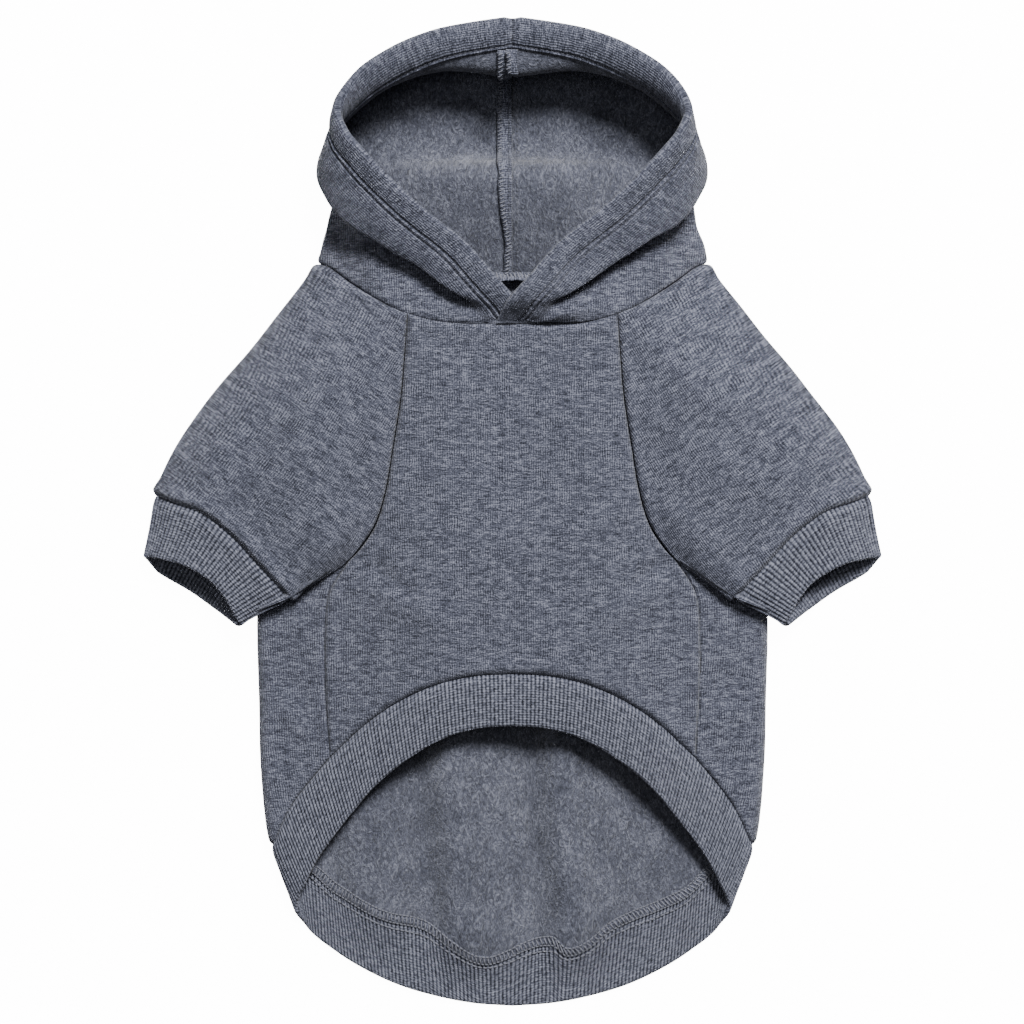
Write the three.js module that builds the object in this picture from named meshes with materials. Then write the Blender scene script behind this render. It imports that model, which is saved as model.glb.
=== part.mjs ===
// Dog hoodie laid flat on its back, belly side up: millimetres, +Z up from the floor,
// +Y towards the hood. Every piece is a thin wall swept over a grid of outer points.
import * as THREE from "three";

// ---- driving sizes, mm
const CHEST_WIDTH = 217; // body laid flat, side fold to side fold
const BACK_LENGTH = 308.5; // back neck seam down to the lowest point of the hem
const HOOD_LENGTH = 108.5; // back neck seam up to the crown of the hood opening
const SLEEVE_LENGTH = 120.6; // shoulder fold, from the neck seam to the cuff seam
const CUFF_DEPTH = 25; // cuff seam to cuff edge, mean
const HEM_DEPTH = 23; // hem seam to hem edge, on the belly
const SIDE_HEIGHT = 10; // height of the laid body at its side folds
const CHEST_HEIGHT = 26; // height of the laid body at the chest
const HOOD_HEIGHT = 39; // height of the laid hood at the rim of its opening
const CLOTH = 2.2; // sweatshirt cloth
const HEM = 3.6; // hood hem, turned and doubled
const RIB = 2.8; // doubled rib knit
const ALLOWANCE = 1.4; // seam allowance inside the hood
const ALLOWANCE_WIDTH = 5;
const LAP = 4.8; // how far the upper hood edge rides over the lower one
const GAP = 0.3; // between neighbouring pieces
const CREASED = 0.9; // drawn in where two pieces meet at an angle

const HALF = CHEST_WIDTH / 2;
const EDGE = GAP / 2;

// ---- tables: across is a share of HALF, down a share of BACK_LENGTH from the back neck

// half width of the laid body: down, across
const SPAN = [
  [0.282, 1.001],
  [0.493, 1.001],
  [0.574, 0.994],
  [0.655, 0.989],
  [0.736, 0.971],
  [0.775, 0.951],
  [0.801, 0.918],
  [0.833, 0.883],
  [0.869, 0.855],
];
// side fold drawn in above the armpit: down, across
const ARMPIT = [
  [0.282, 0.162],
  [0.314, 0.107],
  [0.386, 0.024],
  [0.44, 0],
];
// height of the belly side along its middle: down, share of CHEST_HEIGHT
const CROWN = [
  [0.05, 1],
  [0.3, 1],
  [0.5, 0.93],
  [0.62, 0.82],
  [0.87, 0.77],
];
// side seam, from just above the hem to the underarm: across, down
const SIDE_SEAM = [
  [0.73, 0.574],
  [0.734, 0.493],
  [0.719, 0.431],
  [0.645, 0.386],
];
// front raglan seam, underarm to neck: across, down
const RAGLAN = [
  [0.645, 0.386],
  [0.594, 0.368],
  [0.533, 0.335],
  [0.491, 0.287],
  [0.465, 0.233],
  [0.434, 0.165],
  [0.42, 0.111],
  [0.406, 0.047],
];
// back raglan seam, underarm round the side fold to the back neck: way round from the
// middle of the back as a share of HALF, down
const BACK_RAGLAN = [
  [1.367, 0.386],
  [1.223, 0.353],
  [1.057, 0.314],
  [0.866, 0.282],
  [0.793, 0.25],
  [0.691, 0.182],
  [0.553, 0.088],
  [0.433, -0.006],
];
// neck seam, front middle to back middle, in four runs that each start where the last one
// ends: across, down, share of CHEST_HEIGHT
const NECK = {
  panel: [
    [0, 0.061, 1],
    [0.096, 0.061, 1],
    [0.198, 0.061, 0.992],
    [0.302, 0.057, 0.973],
    [0.406, 0.047, 0.935],
  ],
  shoulder: [
    [0.48, 0.036, 0.862],
    [0.563, 0.019, 0.727],
    [0.64, 0.001, 0.546],
    [0.724, -0.021, 0.331],
    [0.769, -0.027, 0.162],
  ],
  under: [
    [0.714, -0.024, 0],
    [0.553, -0.012, 0],
    [0.433, -0.006, 0],
  ],
  back: [
    [0.276, -0.002, 0],
    [0, 0, 0],
  ],
};
// hem rib, belly middle to back middle in three runs: edge across, edge down, then how far
// out and up from the edge the seam lies, as shares of HEM_DEPTH
const HEM_RIB = {
  belly: [
    [0, 0.609, 0, 0.966],
    [0.124, 0.612, 0.099, 0.966],
    [0.258, 0.625, 0.175, 0.979],
    [0.396, 0.652, 0.241, 1.019],
    [0.53, 0.69, 0.241, 1.086],
    [0.645, 0.737, 0.325, 1.127],
  ],
  side: [
    [0.747, 0.786, 0.5, 0.966],
    [0.813, 0.829, 0.528, 0.885],
    [0.856, 0.867, 0.458, 1.221],
  ],
  back: [
    [0.816, 0.89, 0.41, 1.435],
    [0.716, 0.919, 0.231, 1.542],
    [0.608, 0.944, 0.307, 1.462],
    [0.462, 0.969, 0.344, 1.368],
    [0.316, 0.985, 0.25, 1.261],
    [0.157, 0.996, 0.127, 1.14],
    [0, 1, 0, 1.086],
  ],
};
// cuff, lower fold over the top to the outer fold, then back beneath. Seam: out and down
// from the shoulder's neck end as shares of SLEEVE_LENGTH, share of CHEST_HEIGHT. Edge: out
// and down from the seam as shares of CUFF_DEPTH, share of CHEST_HEIGHT
const CUFF = {
  over: [
    [0.084, 1.192, 0.654, 0.859, 0.42, 0.519],
    [0.121, 1.143, 0.762, 0.781, 0.494, 0.6],
    [0.187, 1.072, 0.777, 0.577, 0.605, 0.635],
    [0.292, 0.959, 0.762, 0.343, 0.814, 0.638],
    [0.399, 0.88, 0.715, 0.299, 0.913, 0.62],
    [0.502, 0.844, 0.5, 0.269, 0.963, 0.45],
    [0.575, 0.819, 0.215, 0.187, 1.049, 0.2],
  ],
  under: [
    [0.519, 0.839, 0, 0.239, 1.209, 0],
    [0.403, 0.877, 0, 0.217, 1.37, 0],
    [0.303, 0.952, 0.077, 0.226, 1.32, 0.11],
    [0.22, 1.039, 0.354, 0.308, 1.135, 0.346],
    [0.138, 1.138, 0.492, 0.608, 0.716, 0.42],
    [0.084, 1.192, 0.654, 0.859, 0.42, 0.519],
  ],
};
// hood, front end round to the crown. First the way along NECK, then three rows of points
// from the neck up to the rim as across, up as a share of HOOD_LENGTH, share of HOOD_HEIGHT
const HOOD = [
  [0.06, -0.052, -0.173, 0.667, 0.01, -0.171, 0.67, -0.06, -0.168, 0.68],
  [0.11, 0.118, -0.143, 0.7, 0.065, -0.111, 0.76, -0.005, -0.083, 0.83],
  [0.17, 0.193, -0.055, 0.64, 0.207, -0.065, 0.8, 0.074, 0.009, 0.9],
  [0.24, 0.27, 0.05, 0.575, 0.341, 0.023, 0.77, 0.184, 0.129, 0.95],
  [0.32, 0.42, 0.165, 0.53, 0.516, 0.134, 0.74, 0.332, 0.244, 0.98],
  [0.4, 0.581, 0.244, 0.48, 0.645, 0.221, 0.67, 0.461, 0.359, 1],
  [0.46, 0.677, 0.332, 0.37, 0.721, 0.318, 0.59, 0.576, 0.475, 1],
  [0.51, 0.737, 0.41, 0.26, 0.756, 0.424, 0.54, 0.65, 0.562, 0.99],
  [0.56, 0.747, 0.507, 0.2, 0.705, 0.562, 0.6, 0.682, 0.659, 0.97],
  [0.65, 0.664, 0.682, 0.17, 0.576, 0.691, 0.63, 0.608, 0.783, 0.94],
  [0.75, 0.525, 0.839, 0.17, 0.438, 0.77, 0.67, 0.47, 0.88, 0.91],
  [0.87, 0.304, 0.926, 0.17, 0.249, 0.815, 0.69, 0.281, 0.954, 0.88],
  [1, 0, 0.972, 0.17, 0, 0.79, 0.69, 0, 1, 0.87],
];
// fold across the back of the hood: up as a share of HOOD_LENGTH, share of HOOD_HEIGHT
const CREASE = [
  [0, 0.02],
  [0.1, 0.16],
  [0.25, 0.34],
  [0.38, 0.42],
  [0.44, 0.38],
  [0.49, 0.12],
  [0.56, 0],
  [1, 0],
];

// ---- reading the tables
const lerp = (a, b, t) => a + (b - a) * t;
const mix = (p, q, t) => p.map((v, i) => lerp(v, q[i], t));
const clamp = (t) => Math.min(1, Math.max(0, t));
const smooth = (t) => clamp(t) ** 2 * (3 - 2 * clamp(t));
const steps = (n, from = 0, to = 1) => Array.from({ length: n + 1 }, (_, i) => lerp(from, to, i / n));

// Smooth reading of one column of a table whose first column rises.
function read(rows, key, col = 1) {
  const last = rows.length - 1;
  if (key <= rows[0][0]) return rows[0][col];
  if (key >= rows[last][0]) return rows[last][col];
  let k = 0;
  while (rows[k + 1][0] < key) k++;
  const slope = (i) => {
    const a = rows[Math.max(i - 1, 0)];
    const b = rows[Math.min(i + 1, last)];
    return (b[col] - a[col]) / (b[0] - a[0]);
  };
  const h = rows[k + 1][0] - rows[k][0];
  const t = (key - rows[k][0]) / h;
  return (
    (2 * t ** 3 - 3 * t ** 2 + 1) * rows[k][col] +
    (t ** 3 - 2 * t ** 2 + t) * h * slope(k) +
    (3 * t ** 2 - 2 * t ** 3) * rows[k + 1][col] +
    (t ** 3 - t ** 2) * h * slope(k + 1)
  );
}

// Points keyed by their share of the way along, and the point at a given share.
function keyed(points) {
  let way = 0;
  const rows = points.map((p, i) => {
    if (i) way += Math.hypot(...p.map((v, c) => v - points[i - 1][c]));
    return [way, ...p];
  });
  return rows.map((r) => [r[0] / way, ...r.slice(1)]);
}
const at = (rows, t) => rows[0].slice(1).map((_, c) => read(rows, t, c + 1));

// ---- the laid body
const downAt = (y) => -y / BACK_LENGTH;
const yAt = (down) => -down * BACK_LENGTH;
const span = (y) => read(SPAN, downAt(y)) * HALF;
const sideFold = (y) => span(y) - read(ARMPIT, downAt(y)) * HALF;
const RADIUS = SIDE_HEIGHT / 2;

// Height of the upper cloth over a spot on the floor.
function topAt(x, y) {
  const inward = 1 - Math.abs(x) / span(y);
  const crown = read(CROWN, downAt(y)) * CHEST_HEIGHT;
  const over = Math.abs(x) - (span(y) - RADIUS);
  const drop = over > 0 ? RADIUS - Math.sqrt(Math.max(0, RADIUS ** 2 - over ** 2)) : 0;
  return lerp(SIDE_HEIGHT, crown, smooth(inward / 0.75)) - drop;
}

// Point on the body at a way round from the middle of the back.
function bodyAt(way, y) {
  const side = Math.sign(way) || 1;
  const flat = sideFold(y) - RADIUS;
  const past = Math.abs(way) - flat;
  const turn = past / RADIUS;
  if (past <= 0) return [way, y, 0];
  if (turn < Math.PI) {
    return [side * (flat + RADIUS * Math.sin(turn)), y, RADIUS * (1 - Math.cos(turn))];
  }
  const x = flat - (past - Math.PI * RADIUS);
  return [side * x, y, Math.max(SIDE_HEIGHT, topAt(x, y))];
}
const wayOnTop = (x, y) => 2 * (sideFold(y) - RADIUS) + Math.PI * RADIUS - x;

const last = (list) => list[list.length - 1];
const onTop = ([across, down]) => [across * HALF, yAt(down), topAt(across * HALF, yAt(down))];
const neckRun = (rows) => rows.map(([a, d, h]) => [a * HALF, yAt(d), h * CHEST_HEIGHT]);
const neckPanel = neckRun(NECK.panel);
const neckShoulder = [last(neckPanel), ...neckRun(NECK.shoulder)];
const neckBeneath = [last(neckShoulder), ...neckRun(NECK.under)];
const neckNape = [last(neckBeneath), ...neckRun(NECK.back)];
const neckFront = keyed(neckPanel);
const neckSleeve = keyed(neckShoulder);
const neckUnder = keyed(neckBeneath);
const neckAll = keyed([...neckPanel, ...neckRun([...NECK.shoulder, ...NECK.under, ...NECK.back])]);

// Hem edge, or the seam where `depth` is HEM_DEPTH, as the points of one run; `height`
// gives the height of a spot.
const hemRun = (rows, depth, height) =>
  rows.map(([across, down, out, up]) => {
    const [x, y] = [across * HALF + out * depth, yAt(down) + up * depth];
    return [x, y, height(x, y)];
  });
function hemLine(depth) {
  const belly = hemRun(HEM_RIB.belly, depth, topAt);
  const side = hemRun(HEM_RIB.side, depth, topAt);
  last(side)[2] = RADIUS; // at the side fold
  return { belly, side, back: hemRun(HEM_RIB.back, depth, () => 0) };
}
const hemSeam = hemLine(HEM_DEPTH);
const hemEdge = hemLine(0);

const sideSeam = keyed([last(hemSeam.belly), ...SIDE_SEAM.map(onTop)]);
const raglan = keyed(RAGLAN.map(onTop));
const backRaglan = keyed(BACK_RAGLAN.map(([w, d]) => [w * HALF, yAt(d)]));

// ---- thin walls
const sub = (a, b) => a.map((v, i) => v - b[i]);
const length = (a) => Math.hypot(...a);
const cross = (a, b) => [a[1] * b[2] - a[2] * b[1], a[2] * b[0] - a[0] * b[2], a[0] * b[1] - a[1] * b[0]];
const unit = (a) => a.map((v) => v / length(a));
const dot = (a, b) => a.reduce((sum, v, i) => sum + v * b[i], 0);

// Draws one border line of points in towards the line beside it, square to the border.
function drawIn(border, beside, distance, ring) {
  const n = border.length;
  return border.map((p, i) => {
    const before = ring ? (i + n - 1) % n : Math.max(i - 1, 0);
    const after = ring ? (i + 1) % n : Math.min(i + 1, n - 1);
    const run = unit(sub(border[after], border[before]));
    const inward = sub(beside[i], p);
    const square = unit(inward.map((v, c) => v - dot(inward, run) * run[c]));
    return p.map((v, c) => v + square[c] * distance);
  });
}

// Draws the open edges of a grid in: its ends (first and last row) and its sides.
function inset(points, ring, ends, sides) {
  const grid = points.map((row) => row.slice());
  const [n, e] = [grid.length - 1, grid[0].length - 1];
  grid[0] = drawIn(points[0], points[1], ends[0], ring);
  grid[n] = drawIn(points[n], points[n - 1], ends[1], ring);
  if (ring) return grid;
  const column = (i) => grid.map((row) => row[i]);
  const near = drawIn(column(0), column(1), sides[0], false);
  const far = drawIn(column(e), column(e - 1), sides[1], false);
  return grid.map((row, j) => [near[j], ...row.slice(1, e), far[j]]);
}

// Outward direction at each grid point, from the faces round it; `side` is 1 or -1 for
// the grid's winding.
function normals(grid, ring, side) {
  const cols = grid[0].length;
  const sums = grid.map((row) => row.map(() => [0, 0, 0]));
  for (let j = 0; j < grid.length - 1; j++) {
    for (let i = 0; i < (ring ? cols : cols - 1); i++) {
      const k = (i + 1) % cols;
      const face = cross(sub(grid[j + 1][k], grid[j][i]), sub(grid[j + 1][i], grid[j][k]));
      for (const [r, c] of [[j, i], [j, k], [j + 1, i], [j + 1, k]]) {
        sums[r][c] = sums[r][c].map((v, a) => v + side * face[a]);
      }
    }
  }
  return sums.map((row) => row.map(unit));
}

// Closed wall: the grid is its outer face, the inner face lies `thick(j, i)` beneath.
function wall(name, points, thick, { ring = false, side = 1, ends = [EDGE, EDGE], sides = [EDGE, EDGE] } = {}) {
  const grid = inset(points, ring, ends, sides).map((row) => row.map(([x, y, z]) => [x, y, Math.max(0, z)]));
  const n = normals(grid, ring, side);
  const rows = grid.length;
  const cols = grid[0].length;
  const inner = grid.map((row, j) => row.map((p, i) => p.map((v, c) => v - n[j][i][c] * thick(j, i))));
  const position = [...grid.flat(), ...inner.flat()].flat();
  const index = [];
  const outerId = (j, i) => j * cols + (i % cols);
  const innerId = (j, i) => rows * cols + outerId(j, i);
  const spot = (k) => position.slice(3 * k, 3 * k + 3);
  const quad = (a, b, c, d) => {
    const [p, q, r, t] = side > 0 ? [a, b, c, d] : [a, d, c, b];
    const short = length(sub(spot(p), spot(r))) <= length(sub(spot(q), spot(t)));
    index.push(...(short ? [p, q, r, p, r, t] : [q, r, t, q, t, p]));
  };
  const spans = ring ? cols : cols - 1;
  for (let j = 0; j < rows - 1; j++) {
    for (let i = 0; i < spans; i++) {
      quad(outerId(j, i), outerId(j, i + 1), outerId(j + 1, i + 1), outerId(j + 1, i));
      quad(innerId(j, i), innerId(j + 1, i), innerId(j + 1, i + 1), innerId(j, i + 1));
    }
  }
  for (let i = 0; i < spans; i++) {
    quad(innerId(0, i), innerId(0, i + 1), outerId(0, i + 1), outerId(0, i));
    quad(outerId(rows - 1, i), outerId(rows - 1, i + 1), innerId(rows - 1, i + 1), innerId(rows - 1, i));
  }
  for (let j = 0; j < rows - 1 && !ring; j++) {
    const e = cols - 1;
    quad(outerId(j, 0), outerId(j + 1, 0), innerId(j + 1, 0), innerId(j, 0));
    quad(innerId(j, e), innerId(j + 1, e), outerId(j + 1, e), outerId(j, e));
  }
  const geometry = new THREE.BufferGeometry();
  geometry.setAttribute("position", new THREE.Float32BufferAttribute(position, 3));
  geometry.setIndex(index);
  geometry.computeVertexNormals();
  const mesh = new THREE.Mesh(geometry);
  mesh.name = name;
  return mesh;
}
const mirrored = (grid) => grid.map((row) => row.map(([x, y, z]) => [-x, y, z]));
const even = (t) => () => t;

// ---- shared stations, so that neighbours meet point to point
const SIDE_ROWS = steps(5);
const RAGLAN_ROWS = steps(8);
const FRONT_COLS = steps(8);
const BACK_COLS = [0, 0.14, 0.28, 0.42, 0.55, 0.67, 0.72, 0.77, 0.82, 0.87, 0.93, 1];
const sidePoints = SIDE_ROWS.map((t) => at(sideSeam, t));
const raglanPoints = RAGLAN_ROWS.map((t) => at(raglan, t));
const backRaglanWays = RAGLAN_ROWS.map((t) => at(backRaglan, t));
const backRaglanPoints = backRaglanWays.map(([w, y]) => bodyAt(w, y));

// Belly panel: rows from the hem arch up to the neck, bounded by side and raglan seams.
function bellyGrid() {
  const edge = [...sidePoints, ...raglanPoints.slice(1)];
  const n = edge.length - 1;
  const arch = keyed(hemSeam.belly);
  const [low, high] = [last(hemSeam.belly), last(neckPanel)];
  const rise = (c) => at(arch, c)[1] - low[1];
  const dip = (c) => at(neckFront, c)[1] - high[1];
  return edge.map(([x, y]) => {
    const up = (y - edge[0][1]) / (edge[n][1] - edge[0][1]);
    const half = FRONT_COLS.map((c) => {
      const px = lerp(at(arch, c)[0] / low[0], at(neckFront, c)[0] / high[0], up) * x;
      const py = y + (1 - up) * rise(c) + up * dip(c);
      return [px, py, lerp(topAt(px, py), at(neckFront, c)[2], smooth(up * 8 - 7))];
    });
    return [...half.slice(1).reverse().map(([a, b, c]) => [-a, b, c]), ...half];
  });
}

// Back panel: runs round both side folds to the side seams on the belly side.
function backGrid() {
  const fold = last(hemSeam.side);
  const ways = [
    ...hemSeam.back.slice().reverse(),
    [sideFold(fold[1]) - RADIUS + (Math.PI * RADIUS) / 2, fold[1]],
    ...[last(hemSeam.belly), ...hemSeam.side.slice(0, -1)].reverse().map(([x, y]) => [wayOnTop(x, y), y]),
  ];
  const bottom = ways.map(([w, y]) => [w / last(ways)[0], y]);
  const top = neckNape.slice().reverse().map(([x, y]) => [x / neckNape[0][0], y]);
  const edge = [
    ...sidePoints.map(([x, y]) => [wayOnTop(x, y), y]),
    ...backRaglanWays.slice(1),
  ];
  const n = edge.length - 1;
  const rows = edge.map(([w, y], j) => {
    const up = j / n;
    const between = (c) => lerp(read(bottom, c), read(top, c), up);
    const half = BACK_COLS.map((c) => {
      const py = between(c) + (y - between(1)) * c ** 3;
      return bodyAt(c * w, py);
    });
    return [...half.slice(1).reverse().map(([a, b, c]) => [-a, b, c]), ...half];
  });
  rows[n] = rows[n].map(([x, y]) => [x, y, 0]);
  return rows;
}

// Sleeve and cuff on the +X side: rings start at the underarm and run over the top.
const TOP_NECK = steps(5);
const UNDER_NECK = steps(4);
const RING_TOP = steps(13);
const RING_UNDER = steps(12);
const armhole = [
  ...raglanPoints,
  ...TOP_NECK.slice(1).map((t) => at(neckSleeve, t)),
  ...UNDER_NECK.slice(1).map((t) => at(neckUnder, t)),
  ...backRaglanPoints.slice(1, -1).reverse(),
];
const shoulderEnd = last(neckShoulder);
const cuffSeam = ([out, down, up]) => [
  shoulderEnd[0] + out * SLEEVE_LENGTH,
  shoulderEnd[1] - down * SLEEVE_LENGTH,
  up * CHEST_HEIGHT,
];
function cuffEdge([out, down, up, edgeOut, edgeDown, edgeUp]) {
  const [x, y] = cuffSeam([out, down, up]);
  return [x + edgeOut * CUFF_DEPTH, y - edgeDown * CUFF_DEPTH, edgeUp * CHEST_HEIGHT];
}
function cuffRing(place) {
  const top = CUFF.over.map(place);
  const over = keyed(top);
  const under = keyed([last(top), ...CUFF.under.map(place)]);
  const ring = [...RING_TOP.map((t) => at(over, t)), ...RING_UNDER.slice(1, -1).map((t) => at(under, t))];
  return ring.map(([x, y, z]) => [x, y, Math.max(0, z)]);
}
const SLEEVE_BOW = 4.4; // how far the shoulder fold bows out
const SLEEVE_PUFF = 4; // how far the upper cloth of the sleeve stands up
const SLEEVE_LIFT = 4; // how far the lower cloth clears the body beneath it
function sleeveGrid() {
  const end = cuffRing(cuffSeam);
  const shoulder = sub(end[13], armhole[13]);
  const out = [-shoulder[1], shoulder[0]].map((v) => v / Math.hypot(shoulder[0], shoulder[1]));
  return steps(7).map((v) =>
    armhole.map((p, i) => {
      const q = mix(p, end[i], v);
      const bulge = Math.sin(Math.PI * v * v) * SLEEVE_BOW * Math.sin((Math.PI * Math.min(i, 26 - i)) / 26) ** 2;
      const puff = i < 13 ? Math.sqrt(Math.sin((Math.PI * i) / 13)) * SLEEVE_PUFF : 0;
      const lift = i > 20 ? Math.sin((Math.PI * (i - 20)) / 5) * SLEEVE_LIFT : 0;
      const hump = Math.sin(Math.PI * v) ** 2;
      const z = lerp(p[2], end[i][2], smooth(v)) + hump * puff + 4 * v * (1 - v) * lift;
      return [q[0] + out[0] * bulge, q[1] + out[1] * bulge, z];
    }),
  );
}
function cuffGrid() {
  const [start, end] = [cuffRing(cuffSeam), cuffRing(cuffEdge)];
  return steps(3).map((v) => start.map((p, i) => mix(p, end[i], v)));
}

// Hem rib: one loop from the hem seam to the hem edge, point to point with the panels.
function hemGrid() {
  const belly = bellyGrid()[0];
  const back = backGrid()[0];
  const halves = (line) => ({
    top: keyed(line.belly),
    rest: keyed([last(line.belly), ...line.side, ...line.back]),
  });
  const [seam, edge] = [halves(hemSeam), halves(hemEdge)];
  const share = (rows, p) => steps(400).reduce(
    (best, t) => (length(sub(at(rows, t), p)) < best[0] ? [length(sub(at(rows, t), p)), t] : best), [1e9, 0])[1];
  const partner = (rows, from, p) => {
    const [a, b, c] = at(rows, share(from, [Math.abs(p[0]), p[1], p[2]]));
    return [Math.sign(p[0]) * a, b, c];
  };
  const start = [...belly, ...back.slice(1, -1).reverse()];
  const end = [
    ...belly.map((p) => partner(edge.top, seam.top, p)),
    ...back.slice(1, -1).reverse().map((p) => partner(edge.rest, seam.rest, p)),
  ];
  return steps(3).map((v) => start.map((p, i) => mix(p, end[i], v)));
}

// Hood half on the +X side: columns from the front end to the crown, rows neck to rim.
const HOOD_COLS = [0, 0.06, 0.12, 0.18, 0.25, 0.32, 0.39, 0.46, 0.52, 0.58, 0.64, 0.71, 0.78, 0.86, 0.93, 1];
const HOOD_ROWS = [0, 0.12, 0.24, 0.34, 0.43, 0.5, 0.56, 0.62, 0.68, 0.74, 0.8, 0.87, 0.94, 1];
const hoodRows = HOOD.map((r, i) => [i / (HOOD.length - 1), ...r]);
const WAIST = 0.085; // how far the hood draws in just above the shoulder, as a share of its width
function hoodLine(u, lap) {
  const [share, ...r] = at(hoodRows, u);
  const start = at(neckAll, share);
  const point = (k) => [r[k] * HALF, r[k + 1] * HOOD_LENGTH, r[k + 2] * HOOD_HEIGHT];
  const [turn, fold, rim] = [point(0), point(3), point(6)];
  const low = smooth((u - 0.5) / 0.2);
  const floor = mix(start, turn, 0.85);
  const run = mix(mix(start, turn, 0.5), [floor[0], floor[1], 0], low * 0.5);
  const near = [lerp(run[0], floor[0], 0.5), lerp(run[1], floor[1], 0.5), lerp(run[2], 0, low)];
  const waist = WAIST * Math.sin(Math.PI * clamp((u - 0.3) / 0.5)) ** 2;
  const drawn = ([x, y, z], share) => [x * (1 - share * waist), y, z];
  const line = [
    [0, ...start],
    [0.3, ...drawn(run, 1)],
    [0.5, ...drawn(mix(near, floor, 0.6), 0.5)],
    [0.64, ...turn],
    [0.8, ...fold],
    [1, ...rim],
  ];
  const raise = lap * (1 - smooth((u - 0.1) / 0.2));
  return HOOD_ROWS.map((v) => {
    const [x, y, z] = at(line, v);
    const crease = v < 0.62 ? low * read(CREASE, y / HOOD_LENGTH) * HOOD_HEIGHT * (1 - smooth(Math.abs(x) / HALF / 0.7)) : 0;
    return [x, y, Math.max(z, 0) + crease + raise];
  });
}
const hoodGrid = (lap) => {
  const lines = HOOD_COLS.map((u) => hoodLine(u, lap));
  return HOOD_ROWS.map((_, j) => lines.map((line) => line[j]));
};
const hoodThick = (j) => (HOOD_ROWS[j] > 0.86 ? HEM : CLOTH);

// Seam allowance of the middle hood seam, pressed to one side inside the hood.
function allowanceGrid() {
  const line = hoodLine(1, 0);
  const rows = [1, 2, 3, 4, 5, 6].map((j) => {
    const [, dy, dz] = unit(sub(line[j + 1], line[j - 1]));
    const lift = CLOTH + ALLOWANCE + GAP * 2;
    return [line[j][1] - dz * lift, line[j][2] + dy * lift];
  });
  return rows.map(([y, z]) => [[-ALLOWANCE_WIDTH - EDGE, y, z], [-EDGE, y, z]]);
}

const part = new THREE.Group();
part.add(
  wall("belly_panel", bellyGrid(), even(CLOTH)),
  wall("back_panel", backGrid(), even(CLOTH), { side: -1 }),
  wall("hem_band", hemGrid(), even(RIB), { ring: true, side: -1, ends: [CREASED, EDGE] }),
  wall("sleeve_right", sleeveGrid(), even(CLOTH), { ring: true, side: -1, ends: [CREASED, CREASED] }),
  wall("sleeve_left", mirrored(sleeveGrid()), even(CLOTH), { ring: true, ends: [CREASED, CREASED] }),
  wall("cuff_right", cuffGrid(), even(RIB), { ring: true, side: -1 }),
  wall("cuff_left", mirrored(cuffGrid()), even(RIB), { ring: true }),
  wall("hood_right", hoodGrid(LAP), hoodThick, { ends: [CREASED, 0], sides: [CREASED, GAP] }),
  wall("hood_left", mirrored(hoodGrid(0)), hoodThick, { side: -1, ends: [CREASED, 0], sides: [CREASED, GAP] }),
  wall("hood_seam_allowance", allowanceGrid(), even(ALLOWANCE)),
);

// Middle of the footprint at the origin, underside on the floor.
const box = new THREE.Box3().setFromObject(part);
part.position.set(-(box.min.x + box.max.x) / 2, -(box.min.y + box.max.y) / 2, -box.min.z);

export default part;
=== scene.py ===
# %% [markdown]
# # A dog hoodie laid flat on its back
#
# A small sweatshirt for a dog, seen from straight above with its belly side up. It is sewn
# from a belly panel, a back panel that comes round both sides, two raglan sleeves with
# ribbed cuffs, one ribbed hem loop and a hood of two halves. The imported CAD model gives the
# frame, in metres with +Z up. Each of its plain solids is replaced here by cloth that has
# the real thing's rolled seams, ribs, folds and stitches.

# %% Load the frame
import bpy
import numpy as np
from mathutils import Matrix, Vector


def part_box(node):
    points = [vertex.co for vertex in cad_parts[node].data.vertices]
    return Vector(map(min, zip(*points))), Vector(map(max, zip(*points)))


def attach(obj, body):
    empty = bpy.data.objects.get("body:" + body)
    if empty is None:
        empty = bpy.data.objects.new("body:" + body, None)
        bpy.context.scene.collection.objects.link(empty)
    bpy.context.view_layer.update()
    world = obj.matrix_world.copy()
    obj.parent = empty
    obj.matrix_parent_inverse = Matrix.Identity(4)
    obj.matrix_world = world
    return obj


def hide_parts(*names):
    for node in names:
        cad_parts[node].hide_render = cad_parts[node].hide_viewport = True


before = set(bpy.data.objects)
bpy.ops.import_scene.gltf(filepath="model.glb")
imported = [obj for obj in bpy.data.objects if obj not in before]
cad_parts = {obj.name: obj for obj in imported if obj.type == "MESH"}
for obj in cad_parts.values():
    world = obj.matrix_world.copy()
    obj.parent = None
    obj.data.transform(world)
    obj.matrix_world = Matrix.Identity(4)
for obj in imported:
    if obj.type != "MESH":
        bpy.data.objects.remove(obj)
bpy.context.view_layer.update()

bpy.ops.object.select_all(action="DESELECT")

# %% [markdown]
# ## Sizes
#
# Cloth is cut flat and sewn, so the garment is described by the lines along which its
# pieces meet. The main sizes are in millimetres. The tables below hold the seams as shares
# of those sizes: "across" is a share of half the chest width, and "down" is a share of the
# back length, from the back of the neck towards the hem. They are the CAD model's own
# numbers, apart from the first row of the hood and its crease, so the cloth fits the CAD.

# %% Main sizes, mm
CHEST_WIDTH = 217.0
BACK_LENGTH = 308.5
HOOD_LENGTH = 108.5
SLEEVE_LENGTH = 120.6
CUFF_DEPTH = 25.0
HEM_DEPTH = 23.0
SIDE_HEIGHT = 10.0
CHEST_HEIGHT = 26.0
HOOD_HEIGHT = 39.0
CLOTH = 2.2
HOOD_HEM = 3.6
RIB = 2.8
LAP = 4.8                      # how much higher the upper front end of the hood lies
RIB_PITCH = 1.7
# about how long the edges are, which sets how many rows or columns run along them
SIDE_SEAM_LONG = 82
RAGLAN_LONG = 112
BACK_RAGLAN_LONG = 150
HALF = CHEST_WIDTH / 2
FOLD = SIDE_HEIGHT / 2
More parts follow.
